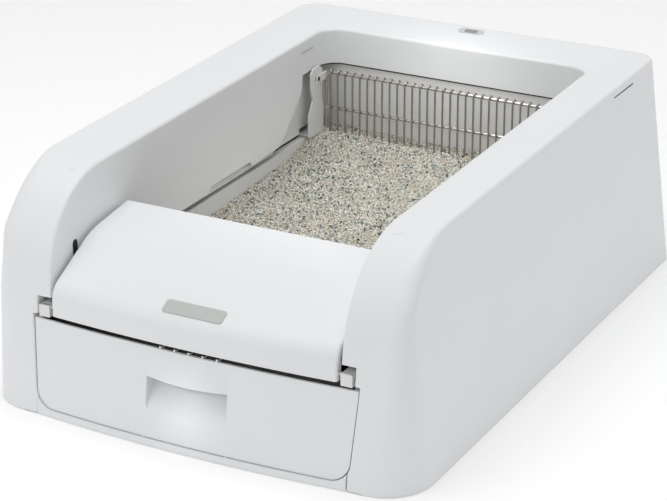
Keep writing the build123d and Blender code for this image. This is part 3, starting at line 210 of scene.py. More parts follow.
def shader(name):
    """A new node material, with its tree, its main shader and the object coordinates."""
    material = bpy.data.materials.new(name)
    material.use_nodes = True
    tree = material.node_tree
    surface = tree.nodes["Principled BSDF"]
    place = tree.nodes.new("ShaderNodeTexCoord")
    return material, tree, surface, place.outputs["Object"]


def noise_node(tree, place, scale, detail=3.0, roughness=0.5):
    """Noise over the object's own coordinates, which are metres."""
    node = tree.nodes.new("ShaderNodeTexNoise")
    node.inputs["Scale"].default_value = scale
    node.inputs["Detail"].default_value = detail
    node.inputs["Roughness"].default_value = roughness
    tree.links.new(place, node.inputs["Vector"])
    return node.outputs["Fac"]


def span(tree, value, low, high):
    """Map a 0 to 1 value onto low to high."""
    node = tree.nodes.new("ShaderNodeMapRange")
    node.inputs["To Min"].default_value = low
    node.inputs["To Max"].default_value = high
    tree.links.new(value, node.inputs["Value"])
    return node.outputs["Result"]


def bump(tree, surface, height, strength, distance):
    """Fine relief from a height value; distance is in metres."""
    node = tree.nodes.new("ShaderNodeBump")
    node.inputs["Strength"].default_value = strength
    node.inputs["Distance"].default_value = distance
    tree.links.new(height, node.inputs["Height"])
    tree.links.new(node.outputs["Normal"], surface.inputs["Normal"])


def two_tone(tree, surface, value, first, second):
    """Base colour that drifts between two close tones."""
    node = tree.nodes.new("ShaderNodeMix")
    node.data_type = "RGBA"
    node.inputs[6].default_value = (*first, 1)
    node.inputs[7].default_value = (*second, 1)
    tree.links.new(value, node.inputs[0])
    tree.links.new(node.outputs[2], surface.inputs["Base Color"])


def scaled(colour, factor):
    """The colour times a factor, up to full white."""
    return [min(1.0, c * factor) for c in colour]


def moulded(name, colour, roughness=0.42, grain=0.00002, grain_scale=2600.0, drift=0.015, specular=0.45):
    """Moulded plastic: fine spark-eroded grain, a faint drift of tone and uneven gloss."""
    material, tree, surface, place = shader(name)
    slow = noise_node(tree, place, 9.0, 2.0)
    two_tone(tree, surface, slow, scaled(colour, 1 - drift), scaled(colour, 1 + drift))
    fine = noise_node(tree, place, grain_scale, 2.0)
    gloss = noise_node(tree, place, 60.0, 3.0)
    tree.links.new(span(tree, gloss, roughness - 0.05, roughness + 0.06), surface.inputs["Roughness"])
    surface.inputs["Specular IOR Level"].default_value = specular
    bump(tree, surface, fine, 0.25, grain)
    return material


def steel(name, colour, roughness):
    """Drawn or plated steel: bright metal with fine streaks."""
    material, tree, surface, place = shader(name)
    surface.inputs["Metallic"].default_value = 1.0
    streaks = noise_node(tree, place, 900.0, 4.0, 0.7)
    two_tone(tree, surface, streaks, scaled(colour, 0.86), colour)
    tree.links.new(span(tree, streaks, roughness * 0.7, roughness * 1.4), surface.inputs["Roughness"])
    bump(tree, surface, streaks, 0.15, 0.00003)
    return material


def granule(name, colour, spread):
    """Chalky mineral grain with a slightly mottled tone."""
    material, tree, surface, place = shader(name)
    mottle = noise_node(tree, place, 700.0, 2.0, 0.6)
    two_tone(tree, surface, mottle, scaled(colour, 1 - spread), scaled(colour, 1 + spread))
    surface.inputs["Roughness"].default_value = 0.85
    surface.inputs["Specular IOR Level"].default_value = 0.25
    bump(tree, surface, mottle, 0.5, 0.0003)
    return material


def felt(name, colour):
    """Matted fibre of the carbon filter."""
    material, tree, surface, place = shader(name)
    fibre = noise_node(tree, place, 1800.0, 5.0, 0.8)
    two_tone(tree, surface, fibre, scaled(colour, 0.5), scaled(colour, 1.8))
    surface.inputs["Roughness"].default_value = 0.95
    bump(tree, surface, fibre, 0.9, 0.0006)
    return material


finishes = {
    "white_shell": moulded("shell white plastic", (0.83, 0.845, 0.86)),
    "pale_grey": moulded("pale grey plastic", (0.80, 0.80, 0.79), roughness=0.45),
    "black_plastic": moulded("black plastic", (0.012, 0.012, 0.013), roughness=0.5, drift=0.2),
    # the darker litter bed shows between the granules: partly the litter's own tone, partly painted shade in
    # the gaps
    "litter": granule("litter bed", (0.40, 0.385, 0.34), 0.3),
    "stainless": steel("stainless wire", (0.66, 0.64, 0.61), 0.22),
    "plated_steel": steel("zinc plated steel", (0.55, 0.56, 0.58), 0.35),
    "rubber": moulded("black rubber", (0.02, 0.02, 0.02), roughness=0.8, grain=0.00006, grain_scale=1200.0,
                      drift=0.2, specular=0.2),
    "bronze": steel("sintered bronze", (0.45, 0.30, 0.16), 0.45),
    "badge_grey": moulded("badge grey plastic", (0.52, 0.54, 0.52), roughness=0.33),
    "button_grey": moulded("button grey plastic", (0.30, 0.31, 0.31), roughness=0.4),
    "bezel_white": moulded("bezel plastic", (0.60, 0.61, 0.62), roughness=0.3),
    "board_green": moulded("solder mask green", (0.02, 0.12, 0.05), roughness=0.3, drift=0.1),
    "filter_black": felt("carbon felt", (0.02, 0.02, 0.02)),
    # a darker copy of the stainless wire for the tines: painted shade
    "shaded_tine_steel": steel("stainless tines painted darker", (0.44, 0.41, 0.38), 0.25),
}
GRANULE_KINDS = (
    (0.33, granule("granule beige", (0.66, 0.61, 0.50), 0.15)),
    (0.30, granule("granule pale", (0.80, 0.78, 0.70), 0.12)),
    (0.16, granule("granule white", (0.88, 0.87, 0.83), 0.08)),
    (0.10, granule("granule grey", (0.40, 0.39, 0.36), 0.25)),
    (0.05, granule("granule dark", (0.07, 0.08, 0.075), 0.3)),
    (0.06, granule("granule teal", (0.08, 0.24, 0.27), 0.3)),
)


def dress_nodes():
    """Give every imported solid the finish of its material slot."""
    for entry in frame["record"]["subparts"]:
        node = frame["nodes"][entry["node"]]
        node.data.materials.clear()
        node.data.materials.append(finishes[entry["material_slot"]])


# ---------------------------------------------------------------- mesh helpers

def grid(bm, rows, skip=()):
    """Quads between neighbouring rows of points, without the cells named in skip."""
    made = []
    for row in rows:
        made.append([bm.verts.new(row_point(*point)) for point in row])
    for r in range(len(made) - 1):
        for c in range(len(made[r]) - 1):
            if (r, c) in skip:
                continue
            bm.faces.new((made[r][c], made[r][c + 1], made[r + 1][c + 1], made[r + 1][c]))


def patch(bm, outline, lift):
    """Flat face of an opening: its outline as points, moved out by lift."""
    bm.faces.new([bm.verts.new(row_point(*(Vector(point) + Vector(lift)))) for point in outline])


def tidy_mesh(bm):
    """Merge the shared borders of the patches and drop what has no area."""
    bmesh.ops.remove_doubles(bm, verts=bm.verts, dist=MERGE)
    bmesh.ops.dissolve_degenerate(bm, edges=bm.edges, dist=1e-6)
    face_out(bm)


def face_out(bm):
    """Turn the faces outwards."""
    bmesh.ops.recalc_face_normals(bm, faces=bm.faces)


def finish_piece(name, bm, body, slot, replaced=(), sharp=SHARP_ANGLE, extra=()):
    """Turn the built faces into a smooth-shaded piece that rides on a body."""
    mesh = bpy.data.meshes.new(name)
    bm.to_mesh(mesh)
    bm.free()
    for material in (slot, *extra):
        mesh.materials.append(finishes[material])
    mesh.polygons.foreach_set("use_smooth", [True] * len(mesh.polygons))
    mesh.set_sharp_from_angle(angle=math.radians(sharp))
    piece = bpy.data.objects.new(name, mesh)
    bpy.context.collection.objects.link(piece)
    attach(piece, body)
    if replaced:
        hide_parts(*replaced)


def rounded(first, corner, last, steps=6):
    """Points of a round corner from first to last, both touching the lines that meet at corner."""
    first, corner, last = Vector(first), Vector(corner), Vector(last)
    weight = 0.74
    points = []
    for n in range(steps + 1):
        t = n / steps
        a, b, c = (1 - t) ** 2, 2 * t * (1 - t) * weight, t ** 2
        points.append((first * a + corner * b + last * c) / (a + b + c))
    return points


def bend(corner, start, end, radius):
    """Path through a corner with a rounded bend."""
    corner, start, end = Vector(corner), Vector(start), Vector(end)
    before = corner + (start - corner).normalized() * radius
    after = corner + (end - corner).normalized() * radius
    return rounded(before, corner, after)


def tube(bm, path, radius, sides):
    """Round wire with closed ends along a path of points in millimetres."""
    path = [Vector(point) for point in path]
    rings = []
    side = None
    for n, point in enumerate(path):
        ahead = path[min(n + 1, len(path) - 1)] - path[max(n - 1, 0)]
        ahead.normalize()
        if side is None:
            side = ahead.orthogonal().normalized()
        side = (side - ahead * side.dot(ahead)).normalized()
        other = ahead.cross(side)
        ring = []
        for k in range(sides):
            a = 2 * math.pi * k / sides
            spoke = side * math.cos(a) + other * math.sin(a)
            ring.append(bm.verts.new(row_point(*(point + spoke * radius))))
        rings.append(ring)
    for one, two in zip(rings, rings[1:]):
        for k in range(sides):
            bm.faces.new((one[k], one[(k + 1) % sides], two[(k + 1) % sides], two[k]))
    bm.faces.new(list(reversed(rings[0])))
    bm.faces.new(rings[-1])


# ---------------------------------------------------------------- surfaces of the hood

def front_corner_r(z):
    """Radius of the front corners, which tighten upwards."""
    heights, radii = zip(*FRONT_CORNERS)
    return float(np.interp(z, heights, radii))


def wall_point(p, z, inset=0.0):
    """Point of the right outer wall; p counts the front corner, the side, the rear corner and the rear."""
    half = WIDTH / 2 - SIDE_LEAN * z - inset
    front = FRONT_LEAN * z + inset
    rear = LENGTH - REAR_LEAN * z - inset
    front_r = front_corner_r(z) - inset
    rear_r = REAR_CORNER_R - inset
    part = min(int(p), 3)
    share = p - part
    angle = share * math.pi / 2
    if part == 0:
        x = half - front_r + front_r * math.sin(angle)
        return Vector((x, front + front_r - front_r * math.cos(angle), z))
    if part == 1:
        return Vector((half, mix(front + front_r, rear - rear_r, share), z))
    if part == 2:
        x = half - rear_r + rear_r * math.cos(angle)
        return Vector((x, rear - rear_r + rear_r * math.sin(angle), z))
    return Vector(((half - rear_r) * (1 - share), rear, z))


def wall_place(point):
    """The p of a point that lies on the front corner or the side."""
    half = WIDTH / 2 - SIDE_LEAN * point.z
    radius = front_corner_r(point.z)
    start = FRONT_LEAN * point.z + radius
    end = LENGTH - REAR_LEAN * point.z - REAR_CORNER_R
    if point.y < start:
        return math.atan2(point.x - half + radius, start - point.y) / (math.pi / 2)
    return 1 + (point.y - start) / (end - start)


def inner_half(z):
    """Half-width between the inner side walls."""
    return OPENING_HALF - INNER_SET_IN + INNER_DRAFT * (z - INNER_WALL_Z)


def turn_at(v):
    """Angle of the leg's arc, 0 at its front, for row v."""
    first = math.atan(FRONT_LEAN)
    last = math.pi / 2 - math.atan(RIM_RISE)
    return mix(first, last, min(max(v - 1, 0), 1))


def leg_point(x, v):
    """Point of the leg's skin: v is 0 to 1 up the front, to 2 round the arc and to 3 back along the rim."""
    level = RIM_Z + RIM_SLOPE * (x - OPENING_HALF)
    low = level - LEG_ARC_R * math.hypot(1, RIM_RISE)
    centre_y = (FRONT_LEAN * low + LEG_ARC_R * math.hypot(1, FRONT_LEAN)) / (1 - FRONT_LEAN * RIM_RISE)
    centre_z = low + RIM_RISE * centre_y
    turn = turn_at(v)
    y = centre_y - LEG_ARC_R * math.cos(turn)
    z = centre_z + LEG_ARC_R * math.sin(turn)
    if v < 1:
        z = mix(NOTCH_TOP_Z, z, v)
        y = FRONT_LEAN * z
    if v > 2:
        y = mix(y, RAKE_BAY_Y, v - 2)
        z = level + RIM_RISE * y
    return Vector((x, y, z))


def outside(point):
    """True where a point of the right half lies outside the outer wall."""
    half = WIDTH / 2 - SIDE_LEAN * point.z
    radius = front_corner_r(point.z)
    across = point.x - half + radius
    along = FRONT_LEAN * point.z + radius - point.y
    if across > 0 and along > 0:
        return math.hypot(across, along) > radius + 1e-9
    return point.x > half


def leg_edge(v):
    """Where row v of the leg meets the outer wall."""
    low, high = OPENING_HALF, WIDTH / 2
    for _ in range(40):
        middle = (low + high) / 2
        if outside(leg_point(middle, v)):
            high = middle
        else:
            low = middle
    return leg_point(low, v)


def rim_top(x, y):
    """Height of the rim, with a soft crease where the side and rear rims meet."""
    side = RIM_Z + RIM_RISE * y + RIM_SLOPE * (x - OPENING_HALF)
    back = RIM_Z + RIM_RISE * OPENING_BACK + BACK_RIM_SLOPE * (y - OPENING_BACK)
    near = max(MITRE_BLEND - abs(side - back), 0) / MITRE_BLEND
    return max(side, back) + near * near * MITRE_BLEND / 4


def inner_point(q, z, grow=0.0):
    """Point of the inner wall behind the rake bay: q counts the side, the corner and half of the rear."""
    half = inner_half(z) + grow
    back = OPENING_BACK + grow
    radius = OPENING_CORNER_R + grow
    part = min(int(q), 2)
    share = q - part
    angle = share * math.pi / 2
    if part == 0:
        return Vector((half, mix(RAKE_BAY_Y, back - radius, share), z))
    if part == 1:
        x = half - radius + radius * math.cos(angle)
        return Vector((x, back - radius + radius * math.sin(angle), z))
    return Vector(((half - radius) * (1 - share), back, z))


def wall_normal(p, z):
    """Outward direction of the outer wall."""
    across = wall_point(p + 0.002, z) - wall_point(p, z)
    upward = wall_point(p, z + 0.5) - wall_point(p, z)
    return across.cross(upward).normalized()


def lower_edge(y):
    """Height of the inner side wall's lower edge."""
    ys, zs = zip(*LOWER_EDGE)
    return float(np.interp(y, ys, zs))


def drawer_side(z):
    """The leg's inner edge beside the drawer and the sill."""
    share = min((z - DRAWER_LOW_Z) / (DRAWER_HIGH_Z - DRAWER_LOW_Z), 1)
    x = mix(DRAWER_SIDE_LOW, DRAWER_SIDE_TOP, share)
    centre_z = DRAWER_LOW_Z + DRAWER_CORNER_R
    if z < centre_z:
        centre_x = mix(DRAWER_SIDE_LOW, DRAWER_SIDE_TOP, DRAWER_CORNER_SHARE) - DRAWER_CORNER_R
        x = centre_x + math.sqrt(max(DRAWER_CORNER_R ** 2 - (centre_z - z) ** 2, 0))
    return max(x, SILL_HALF)


class Row:
    """One line across the rim: from the outer wall over the top to the inner wall."""

    def __init__(self, v=None, q=None, p_side=None):
        self.v = v
        self.q = q
        if v is not None:
            self.edge = leg_edge(v)
            self.p = max(wall_place(self.edge), 0.0)
            x = OPENING_HALF
            for _ in range(6):
                self.inner = leg_point(x, v)
                x = inner_half(self.inner.z)
        else:
            self.p = mix(p_side, 2, q) if q < 1 else q + 1
            self.edge = wall_point(self.p, 240)
            self.inner = inner_point(q, 240)
            for _ in range(8):
                self.edge = wall_point(self.p, rim_top(self.edge.x, self.edge.y))
                self.inner = inner_point(q, rim_top(self.inner.x, self.inner.y))
        self.length = (self.edge - self.inner).length

    def at(self, share):
        """Point of the top surface, a share of the way from the outer to the inner edge."""
        if self.v is not None:
            return leg_point(mix(self.edge.x, self.inner.x, share), self.v)
        x = mix(self.edge.x, self.inner.x, share)
        y = mix(self.edge.y, self.inner.y, share)
        return Vector((x, y, rim_top(x, y)))

    def top_normal(self):
        """Direction of the top surface near the outer edge."""
        if self.v is not None:
            inward = self.at(0.02) - self.edge
            onward = leg_point(self.edge.x, self.v + 0.01) - self.edge
            return inward.cross(onward).normalized()
        x, y = self.at(0.1).xy
        height = rim_top(x, y)
        return Vector((rim_top(x - 1, y) - height, rim_top(x, y - 1) - height, 1)).normalized()

    def outer_round(self):
        """Rounded corner from the outer wall to the top."""
        alike = abs(wall_normal(self.p, self.edge.z - 1).dot(self.top_normal()))
        angle = math.acos(min(alike, 1.0))
        edge = OUTER_EDGE
        if self.v is not None:
            edge = mix(ARC_EDGE, OUTER_EDGE, min(max(self.v - 1, 0) / ARC_EDGE_FADE, 1) ** 1.3)
        reach = edge * math.tan(min(angle, math.pi / 2) / 2)
        self.setback = reach / self.length
        low = wall_point(self.p, self.edge.z - reach)
        return rounded(low, self.edge, self.at(self.setback))

    def inner_round(self):
        """Rounded corner from the top to the inner wall."""
        edge = INNER_EDGE
        if self.v is not None:
            edge = mix(LEG_FRONT_EDGE, INNER_EDGE, min(max(self.v - 1, 0) / 0.5, 1))
        self.inner_share = 1 - edge / self.length
        if self.v is not None:
            turn = turn_at(self.v)
            y = self.inner.y + edge * math.cos(turn)
            z = self.inner.z - edge * math.sin(turn)
            low = Vector((inner_half(z), y, z))
        else:
            low = inner_point(self.q, self.inner.z - edge)
        return rounded(self.at(self.inner_share), self.inner, low)


# ---------------------------------------------------------------- hood

def rim_rows():
    """The lines across the leg, the side rim and half of the rear rim."""
    front_v = [n / FRONT_STEPS for n in range(FRONT_STEPS + 1)]
    arc_v = [1 + (n / ARC_STEPS) ** 1.4 for n in range(1, ARC_STEPS + 1)]
    flat_start = leg_point(OPENING_HALF, 2).y
    flat_v = [2 + (y - flat_start) / (RAKE_BAY_Y - flat_start) for y in FLAT_Y]
    rows = [Row(v=v) for v in front_v + arc_v + flat_v]
    p_side = rows[-1].p
    return rows + [Row(q=q, p_side=p_side) for q in REAR_Q]


def add_rim(bm, rows, outer, inner):
    """Top of the rim and its two rounded edges."""
    top = []
    for row in rows:
        top.append([row.at(mix(row.setback, row.inner_share, s)) for s in ACROSS])
    last = len(rows) - 2
    grid(bm, top, {(last, cell) for cell in BEZEL_CELLS})
    grid(bm, outer[FRONT_STEPS:])
    grid(bm, inner)


def add_front(bm, levels, inner_edge):
    """Leg's front face below the arc, with a rounded inner edge and the return behind it."""
    faces, returns = [], []
    for z in levels:
        outer = wall_point(0, z)
        x = inner_edge(z)
        y = FRONT_LEAN * z
        touch = Vector((x + LEG_FRONT_EDGE, y, z))
        row = [outer.lerp(touch, s) for s in (0, 0.1, 0.5, 0.9)]
        faces.append(row + rounded(touch, (x, y, z), (x, y + LEG_FRONT_EDGE, z), 4))
        returns.append([(x, y + LEG_FRONT_EDGE, z), (x, LEG_RETURN_Y, z)])
    grid(bm, faces)
    grid(bm, returns)


def add_notch(bm):
    """Floor and ceiling of the notch that holds the lid's hinge."""
    low_step = (NOTCH_LOW_Z, NOTCH_HALF, DRAWER_SIDE_TOP)
    high_step = (NOTCH_TOP_Z, inner_half(NOTCH_TOP_Z), NOTCH_HALF)
    for z, x0, x1 in (low_step, high_step):
        front = FRONT_LEAN * z + 0.4
        grid(bm, [[(x0, front, z), (x1, front, z)], [(x0, NOTCH_BACK_Y, z), (x1, NOTCH_BACK_Y, z)]])


def add_outer_wall(bm, rows, outer):
    """Outer wall below the rounded edge, and its turned-in foot."""
    front_heights = [row.edge.z for row in rows[1:FRONT_STEPS + 1]]
    levels = [*LOW_LEVELS, *NOTCH_LEVELS[1:], *front_heights]
    reach = levels[-1] - FLOOR_GAP
    wall, hem = [], []
    for row, edge in zip(rows[FRONT_STEPS:], outer[FRONT_STEPS:]):
        top = edge[0].z
        wall.append([wall_point(row.p, mix(FLOOR_GAP, top, (z - FLOOR_GAP) / reach)) for z in levels])
        foot = wall_point(row.p, FLOOR_GAP)
        hem.append([foot, wall_point(row.p, FLOOR_GAP, WALL), wall_point(row.p, HEM_Z, WALL)])
    grid(bm, wall)
    grid(bm, hem)


def add_inner_wall(bm, rows, inner):
    """Inner wall below the rounded edge, and its turned-in lower edge."""
    inside = [[inner[FRONT_STEPS - k][-1] for k in range(FRONT_STEPS + 1)]]
    edges = []
    for row, edge in zip(rows[FRONT_STEPS + 1:], inner[FRONT_STEPS + 1:]):
        touch = edge[-1]
        if row.v is not None:
            y = touch.y - LEG_TUCK * max(0.0, 1 - (touch.y - LEG_TUCK_Y) / LEG_TUCK_REACH)
            z = lower_edge(y)
            low = Vector((inner_half(z), y, z))
            out = Vector((WALL, 0, 0))
        else:
            low = inner_point(row.q, INNER_BACK_Z)
            out = inner_point(row.q, INNER_BACK_Z, WALL) - low
        inside.append([touch.lerp(low, k / FRONT_STEPS) for k in range(FRONT_STEPS + 1)])
        edges.append([low, low + out, low + out + Vector((0, 0, 12))])
    grid(bm, inside)
    grid(bm, edges)


def make_hood():
    """Shell of the hood as one skin, with its edges turned in."""
    bm = bmesh.new()
    rows = rim_rows()
    outer = [row.outer_round() for row in rows]
    inner = [row.inner_round() for row in rows]
    add_rim(bm, rows, outer, inner)
    add_front(bm, LOW_LEVELS, drawer_side)
    add_front(bm, NOTCH_LEVELS, lambda z: NOTCH_HALF)
    add_notch(bm)
    add_outer_wall(bm, rows, outer)
    add_inner_wall(bm, rows, inner)
    tidy_mesh(bm)
    bmesh.ops.mirror(bm, geom=bm.verts[:] + bm.edges[:] + bm.faces[:], axis="X", merge_dist=MERGE)
    face_out(bm)
    finish_piece("hood_shell", bm, "base", "white_shell", ["hood"])


# ---------------------------------------------------------------- litter

def litter_height(x, y):
    """Height of the litter: low in front, heaped towards the rear left, with small hollows."""
    ys, zs = zip(*LITTER_PROFILE)
    z = float(np.interp(y, ys, zs))
    heap = max(0.0, 1 - (x + 165) / 120) * max(0.0, (y - 500) / 97)
    rough = 0.0
    for width, depth, height in HOLLOWS:
        rough += noise.noise(Vector((x, y, depth)) / width) * height
    return z + HEAP_Z * heap + rough


def make_litter_bed():
    """Surface just under the granules, darker than they are: partly the litter's own tone, partly painted
    shade in the gaps between the grains.
    """
    bm = bmesh.new()
    rows = []
    for y in [mix(LITTER_FRONT_Y, LITTER_BACK_Y, n / 89) for n in range(90)]:
        rows.append([(x, y, litter_height(x, y) - 1.0) for x in np.linspace(-TRAY_HALF, TRAY_HALF, 60)])
    grid(bm, rows)
    tidy_mesh(bm)
    finish_piece("litter_surface", bm, "base", "litter", ["litter_bed"], 180)


def make_granules():
    """The loose granules: uneven six-sided grains, turned and mixed by seeded chance."""
    chance = random.Random(7)
    stretch = np.random.default_rng(11)
    corners = np.array([(x, y, z) for x in (-1, 1) for y in (-1, 1) for z in (-1, 1)], float) * GRANULE_HALF
    sides = ((0, 1, 3, 2), (4, 6, 7, 5), (0, 4, 5, 1), (2, 3, 7, 6), (0, 2, 6, 4), (1, 5, 7, 3))
    quads = np.array(sides)
    shares = np.cumsum([share for share, _ in GRANULE_KINDS])
    verts, faces, kinds = [], [], []
    y = LITTER_FRONT_Y
    while y < LITTER_BACK_Y:
        x = -TRAY_HALF + 1
        while x < TRAY_HALF - 1:
            px = x + chance.uniform(-GRANULE_SCATTER, GRANULE_SCATTER)
            py = min(y + chance.uniform(-GRANULE_SCATTER, GRANULE_SCATTER), LITTER_BACK_Y - 1)
            size = chance.uniform(0.65, 1.35)
            pz = litter_height(px, py) + chance.uniform(-0.9, 0.8)
            shape = corners * size * stretch.uniform(0.7, 1.25, (8, 3))
            a, b = chance.uniform(0, 6.28), chance.uniform(0, 6.28)
            turn = np.array(((math.cos(a), -math.sin(a), 0), (math.sin(a), math.cos(a), 0), (0, 0, 1)))
            tip = np.array(((1, 0, 0), (0, math.cos(b), -math.sin(b)), (0, math.sin(b), math.cos(b))))
            faces.append(quads + 8 * len(verts))
            verts.append(shape @ turn @ tip + (px, py - CENTRE_Y, pz))
            kinds.append(int(np.searchsorted(shares, chance.random() * shares[-1])))
            x += GRANULE_STEP
        y += GRANULE_STEP
    mesh = bpy.data.meshes.new("litter_granules")
    mesh.from_pydata((np.concatenate(verts) * MM).tolist(), [], np.concatenate(faces).tolist())
    for _, material in GRANULE_KINDS:
        mesh.materials.append(material)
    mesh.polygons.foreach_set("material_index", np.repeat(kinds, len(sides)))
    mesh.update()
    granules = bpy.data.objects.new("litter_granules", mesh)
    bpy.context.collection.objects.link(granules)
    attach(granules, "base")


# ---------------------------------------------------------------- rake

def add_frame_wires(bm):
    """Frame wire round the top and ends of the rake, and its middle wire."""
    left_tip = (-RAKE_HALF, CROSS_Y, RAKE_TIP_Z)
    right_tip = (RAKE_HALF, CROSS_Y, RAKE_TIP_Z)
    top_left = (-RAKE_HALF, CROSS_Y, TOP_WIRE_Z)
    top_right = (RAKE_HALF, CROSS_Y, TOP_WIRE_Z)
    path = [left_tip]
    path += bend(top_left, left_tip, top_right, FRAME_BEND_R)
    path += bend(top_right, top_left, right_tip, FRAME_BEND_R)
    path.append(right_tip)
    tube(bm, path, FRAME_R, 12)
    tube(bm, [(-RAKE_HALF + 1, CROSS_Y, MID_WIRE_Z), (RAKE_HALF - 1, CROSS_Y, MID_WIRE_Z)], FRAME_R, 12)


def add_tines(bm):
    """Tines, each hooked over the top wire."""
    step = 2 * TINE_HALF / (TINE_COUNT - 1)
    reach = FRAME_R + TINE_R - WELD_DEPTH
    for n in range(TINE_COUNT):
        x = n * step - TINE_HALF
        hook = [(x, WIRE_Y, RAKE_TIP_Z), (x, WIRE_Y, TOP_WIRE_Z - 3)]
        for k in range(9):
            a = math.radians(180 - 25 * k)
            sway = HOOK_SWAY * k / 8
            hook.append((x + sway, CROSS_Y + reach * math.cos(a), TOP_WIRE_Z + reach * math.sin(a)))
        tube(bm, hook, TINE_R, 8)


def make_rake_wires():
    """The welded wire rake, with its tines in a darker copy of the steel, which paints shade on them."""
    bm = bmesh.new()
    add_frame_wires(bm)
    frame_faces = len(bm.faces)
    add_tines(bm)
    # the tines take the darker steel copy, which is painted shade
    for face in bm.faces[frame_faces:]:
        face.material_index = 1
    face_out(bm)
    finish_piece("rake_wires", bm, "rake", "stainless", ["rake"], extra=["shaded_tine_steel"])


def make_rake_arms():
    """Moulded arm at each end of the rake."""
    bm = bmesh.new()
    front, back = PIVOT_Y - ARM_HALF, CROSS_Y + 1
    levels = (PIVOT_Z - ARM_HALF, PIVOT_Z + ARM_HALF)
    for side in (-1, 1):
        x0, x1 = side * ARM_X[0], side * ARM_X[1]
        rows = []
        for z in levels:
            rows.append([(x0, front, z), (x0, back, z), (x1, back, z), (x1, front, z), (x0, front, z)])
        grid(bm, rows)
        for z in levels:
            grid(bm, [[(x0, front, z), (x0, back, z)], [(x1, front, z), (x1, back, z)]])
    face_out(bm)
    finish_piece("rake_arms", bm, "rake", "pale_grey")


def make_rake_stubs():
    """Dark pivot stub at each end of the rake."""
    bm = bmesh.new()
    for side in (-1, 1):
        tube(bm, [(side * x, PIVOT_Y, PIVOT_Z) for x in STUB_X], STUB_R, 16)
    face_out(bm)
    finish_piece("rake_stubs", bm, "rake", "black_plastic")


# ---------------------------------------------------------------- slots, screens, painted shade and ribs

def make_openings():
    """Black patches for the cover slots of the outer walls and the sensor slots of the legs: painted shade
    in place of the openings.
    """
    bm = bmesh.new()
    for side in (-1, 1):
        slot = [(side * (WIDTH / 2 - SIDE_LEAN * z), y, z) for y, z in COVER_SLOT]
        patch(bm, slot, (side * PATCH_LIFT, 0, 0))
        arch = list(SENSOR_FOOT)
        for a in np.linspace(0, math.pi, 9):
            arch.append((SENSOR_TOP[0] + SENSOR_R * math.cos(a), SENSOR_TOP[1] + SENSOR_R * math.sin(a)))
        patch(bm, [(side * inner_half(z), y, z) for y, z in arch], (-side * PATCH_LIFT, 0, 0))
    finish_piece("cover_slots", bm, "base", "black_plastic")


def make_screens():
    """Pale screens that close the drive channels behind the slits of the inner side walls."""
    bm = bmesh.new()
    for side in (-1, 1):
        for x, y0, y1, high in SCREENS:
            low_line = [(side * x, y, SCREEN_LOW_Z) for y in (y0, y1)]
            high_line = [(side * x, y, high) for y in (y0, y1)]
            grid(bm, [low_line, high_line])
    finish_piece("channel_screens", bm, "base", "pale_grey")


def make_gap_shade():
    """Black strips in the gaps between the drawer front and the legs: painted shade where these gaps are
    dark.
    """
    bm = bmesh.new()
    for side in (-1, 1):
        rows = []
        for z in GAP_SHADE_LEVELS:
            y = FRONT_LEAN * z + GAP_SHADE_DEPTH
            edge = drawer_side(z)
            rows.append([(side * (edge - inset), y, z) for inset in GAP_SHADE_X])
        grid(bm, rows)
    # the black rubber finish of these strips is painted shade
    finish_piece("drawer_gap_shade", bm, "base", "rubber")


def make_shade():
    """Black sheet behind the drawer front's top edge: painted shade in the gap below the lid."""
    bm = bmesh.new()
    rows = [[], []]
    for x in np.linspace(-SHADE_HALF, SHADE_HALF, 25):
        bow = DRAWER_BOW * (1 - (x / DRAWER_HALF) ** 2)
        face = FRONT_LEAN * DRAWER_TOP_Z + DRAWER_SET_BACK - bow
        rows[0].append((x, face + SHADE_FRONT_Y, SHADE_Z))
        rows[1].append((x, SHADE_BACK_Y, SHADE_Z))
    grid(bm, rows)
    finish_piece("slot_shade", bm, "drawer", "black_plastic")


def make_bay_gap():
    """Black strip that paints the shadow line where the hood's inner wall ends above the rake bay."""
    bm = bmesh.new()
    for side in (-1, 1):
        rows = []
        for z in GAP_Z:
            points = [inner_point(q, z, GAP_SET_BACK) for q in np.linspace(0.4, 3.0, 40)]
            rows.append([(side * point.x, point.y, z) for point in points])
        grid(bm, rows)
    finish_piece("bay_shadow_gap", bm, "base", "black_plastic")


def make_inner_slits():
    """Flat grey patches of the inner walls, beside the rake: painted shade of the shallow slits there."""
    bm = bmesh.new()
    for side in (-1, 1):
        patch(bm, [(side * inner_half(z), y, z) for y, z in INNER_SLIT], (-side * PATCH_LIFT, 0, 0))
    # the bezel grey of these patches is painted shade
    finish_piece("inner_slits", bm, "base", "bezel_white")


def make_teeth():
    """Stiffening ribs of the drawer that show in the dark gap below the lid."""
    bm = bmesh.new()
    for n in range(-2, 3):
        x = n * RIB_PITCH
        rings = []
        for px in (x - RIB_HALF, x + RIB_HALF):
            rings.append([bm.verts.new(row_point(px, y, z)) for y, z in RIB_SIDE])
        bm.faces.new(rings[0])
        bm.faces.new(list(reversed(rings[1])))
        for k in range(len(RIB_SIDE)):
            m = (k + 1) % len(RIB_SIDE)
            bm.faces.new((rings[0][k], rings[0][m], rings[1][m], rings[1][k]))
    face_out(bm)
    finish_piece("drawer_teeth", bm, "drawer", "white_shell")


# ---------------------------------------------------------------- stage, light and camera

def stage_white():
    """Matt white of the studio floor, with a faint glow."""
    material, tree, surface, place = shader("studio white")
    slow = noise_node(tree, place, 0.8, 1.0)
    two_tone(tree, surface, slow, (0.93, 0.93, 0.93), (0.95, 0.95, 0.95))
    surface.inputs["Roughness"].default_value = 0.9
    surface.inputs["Emission Color"].default_value = (1.0, 1.0, 1.0, 1)
    surface.inputs["Emission Strength"].default_value = FLOOR_GLOW
    return material


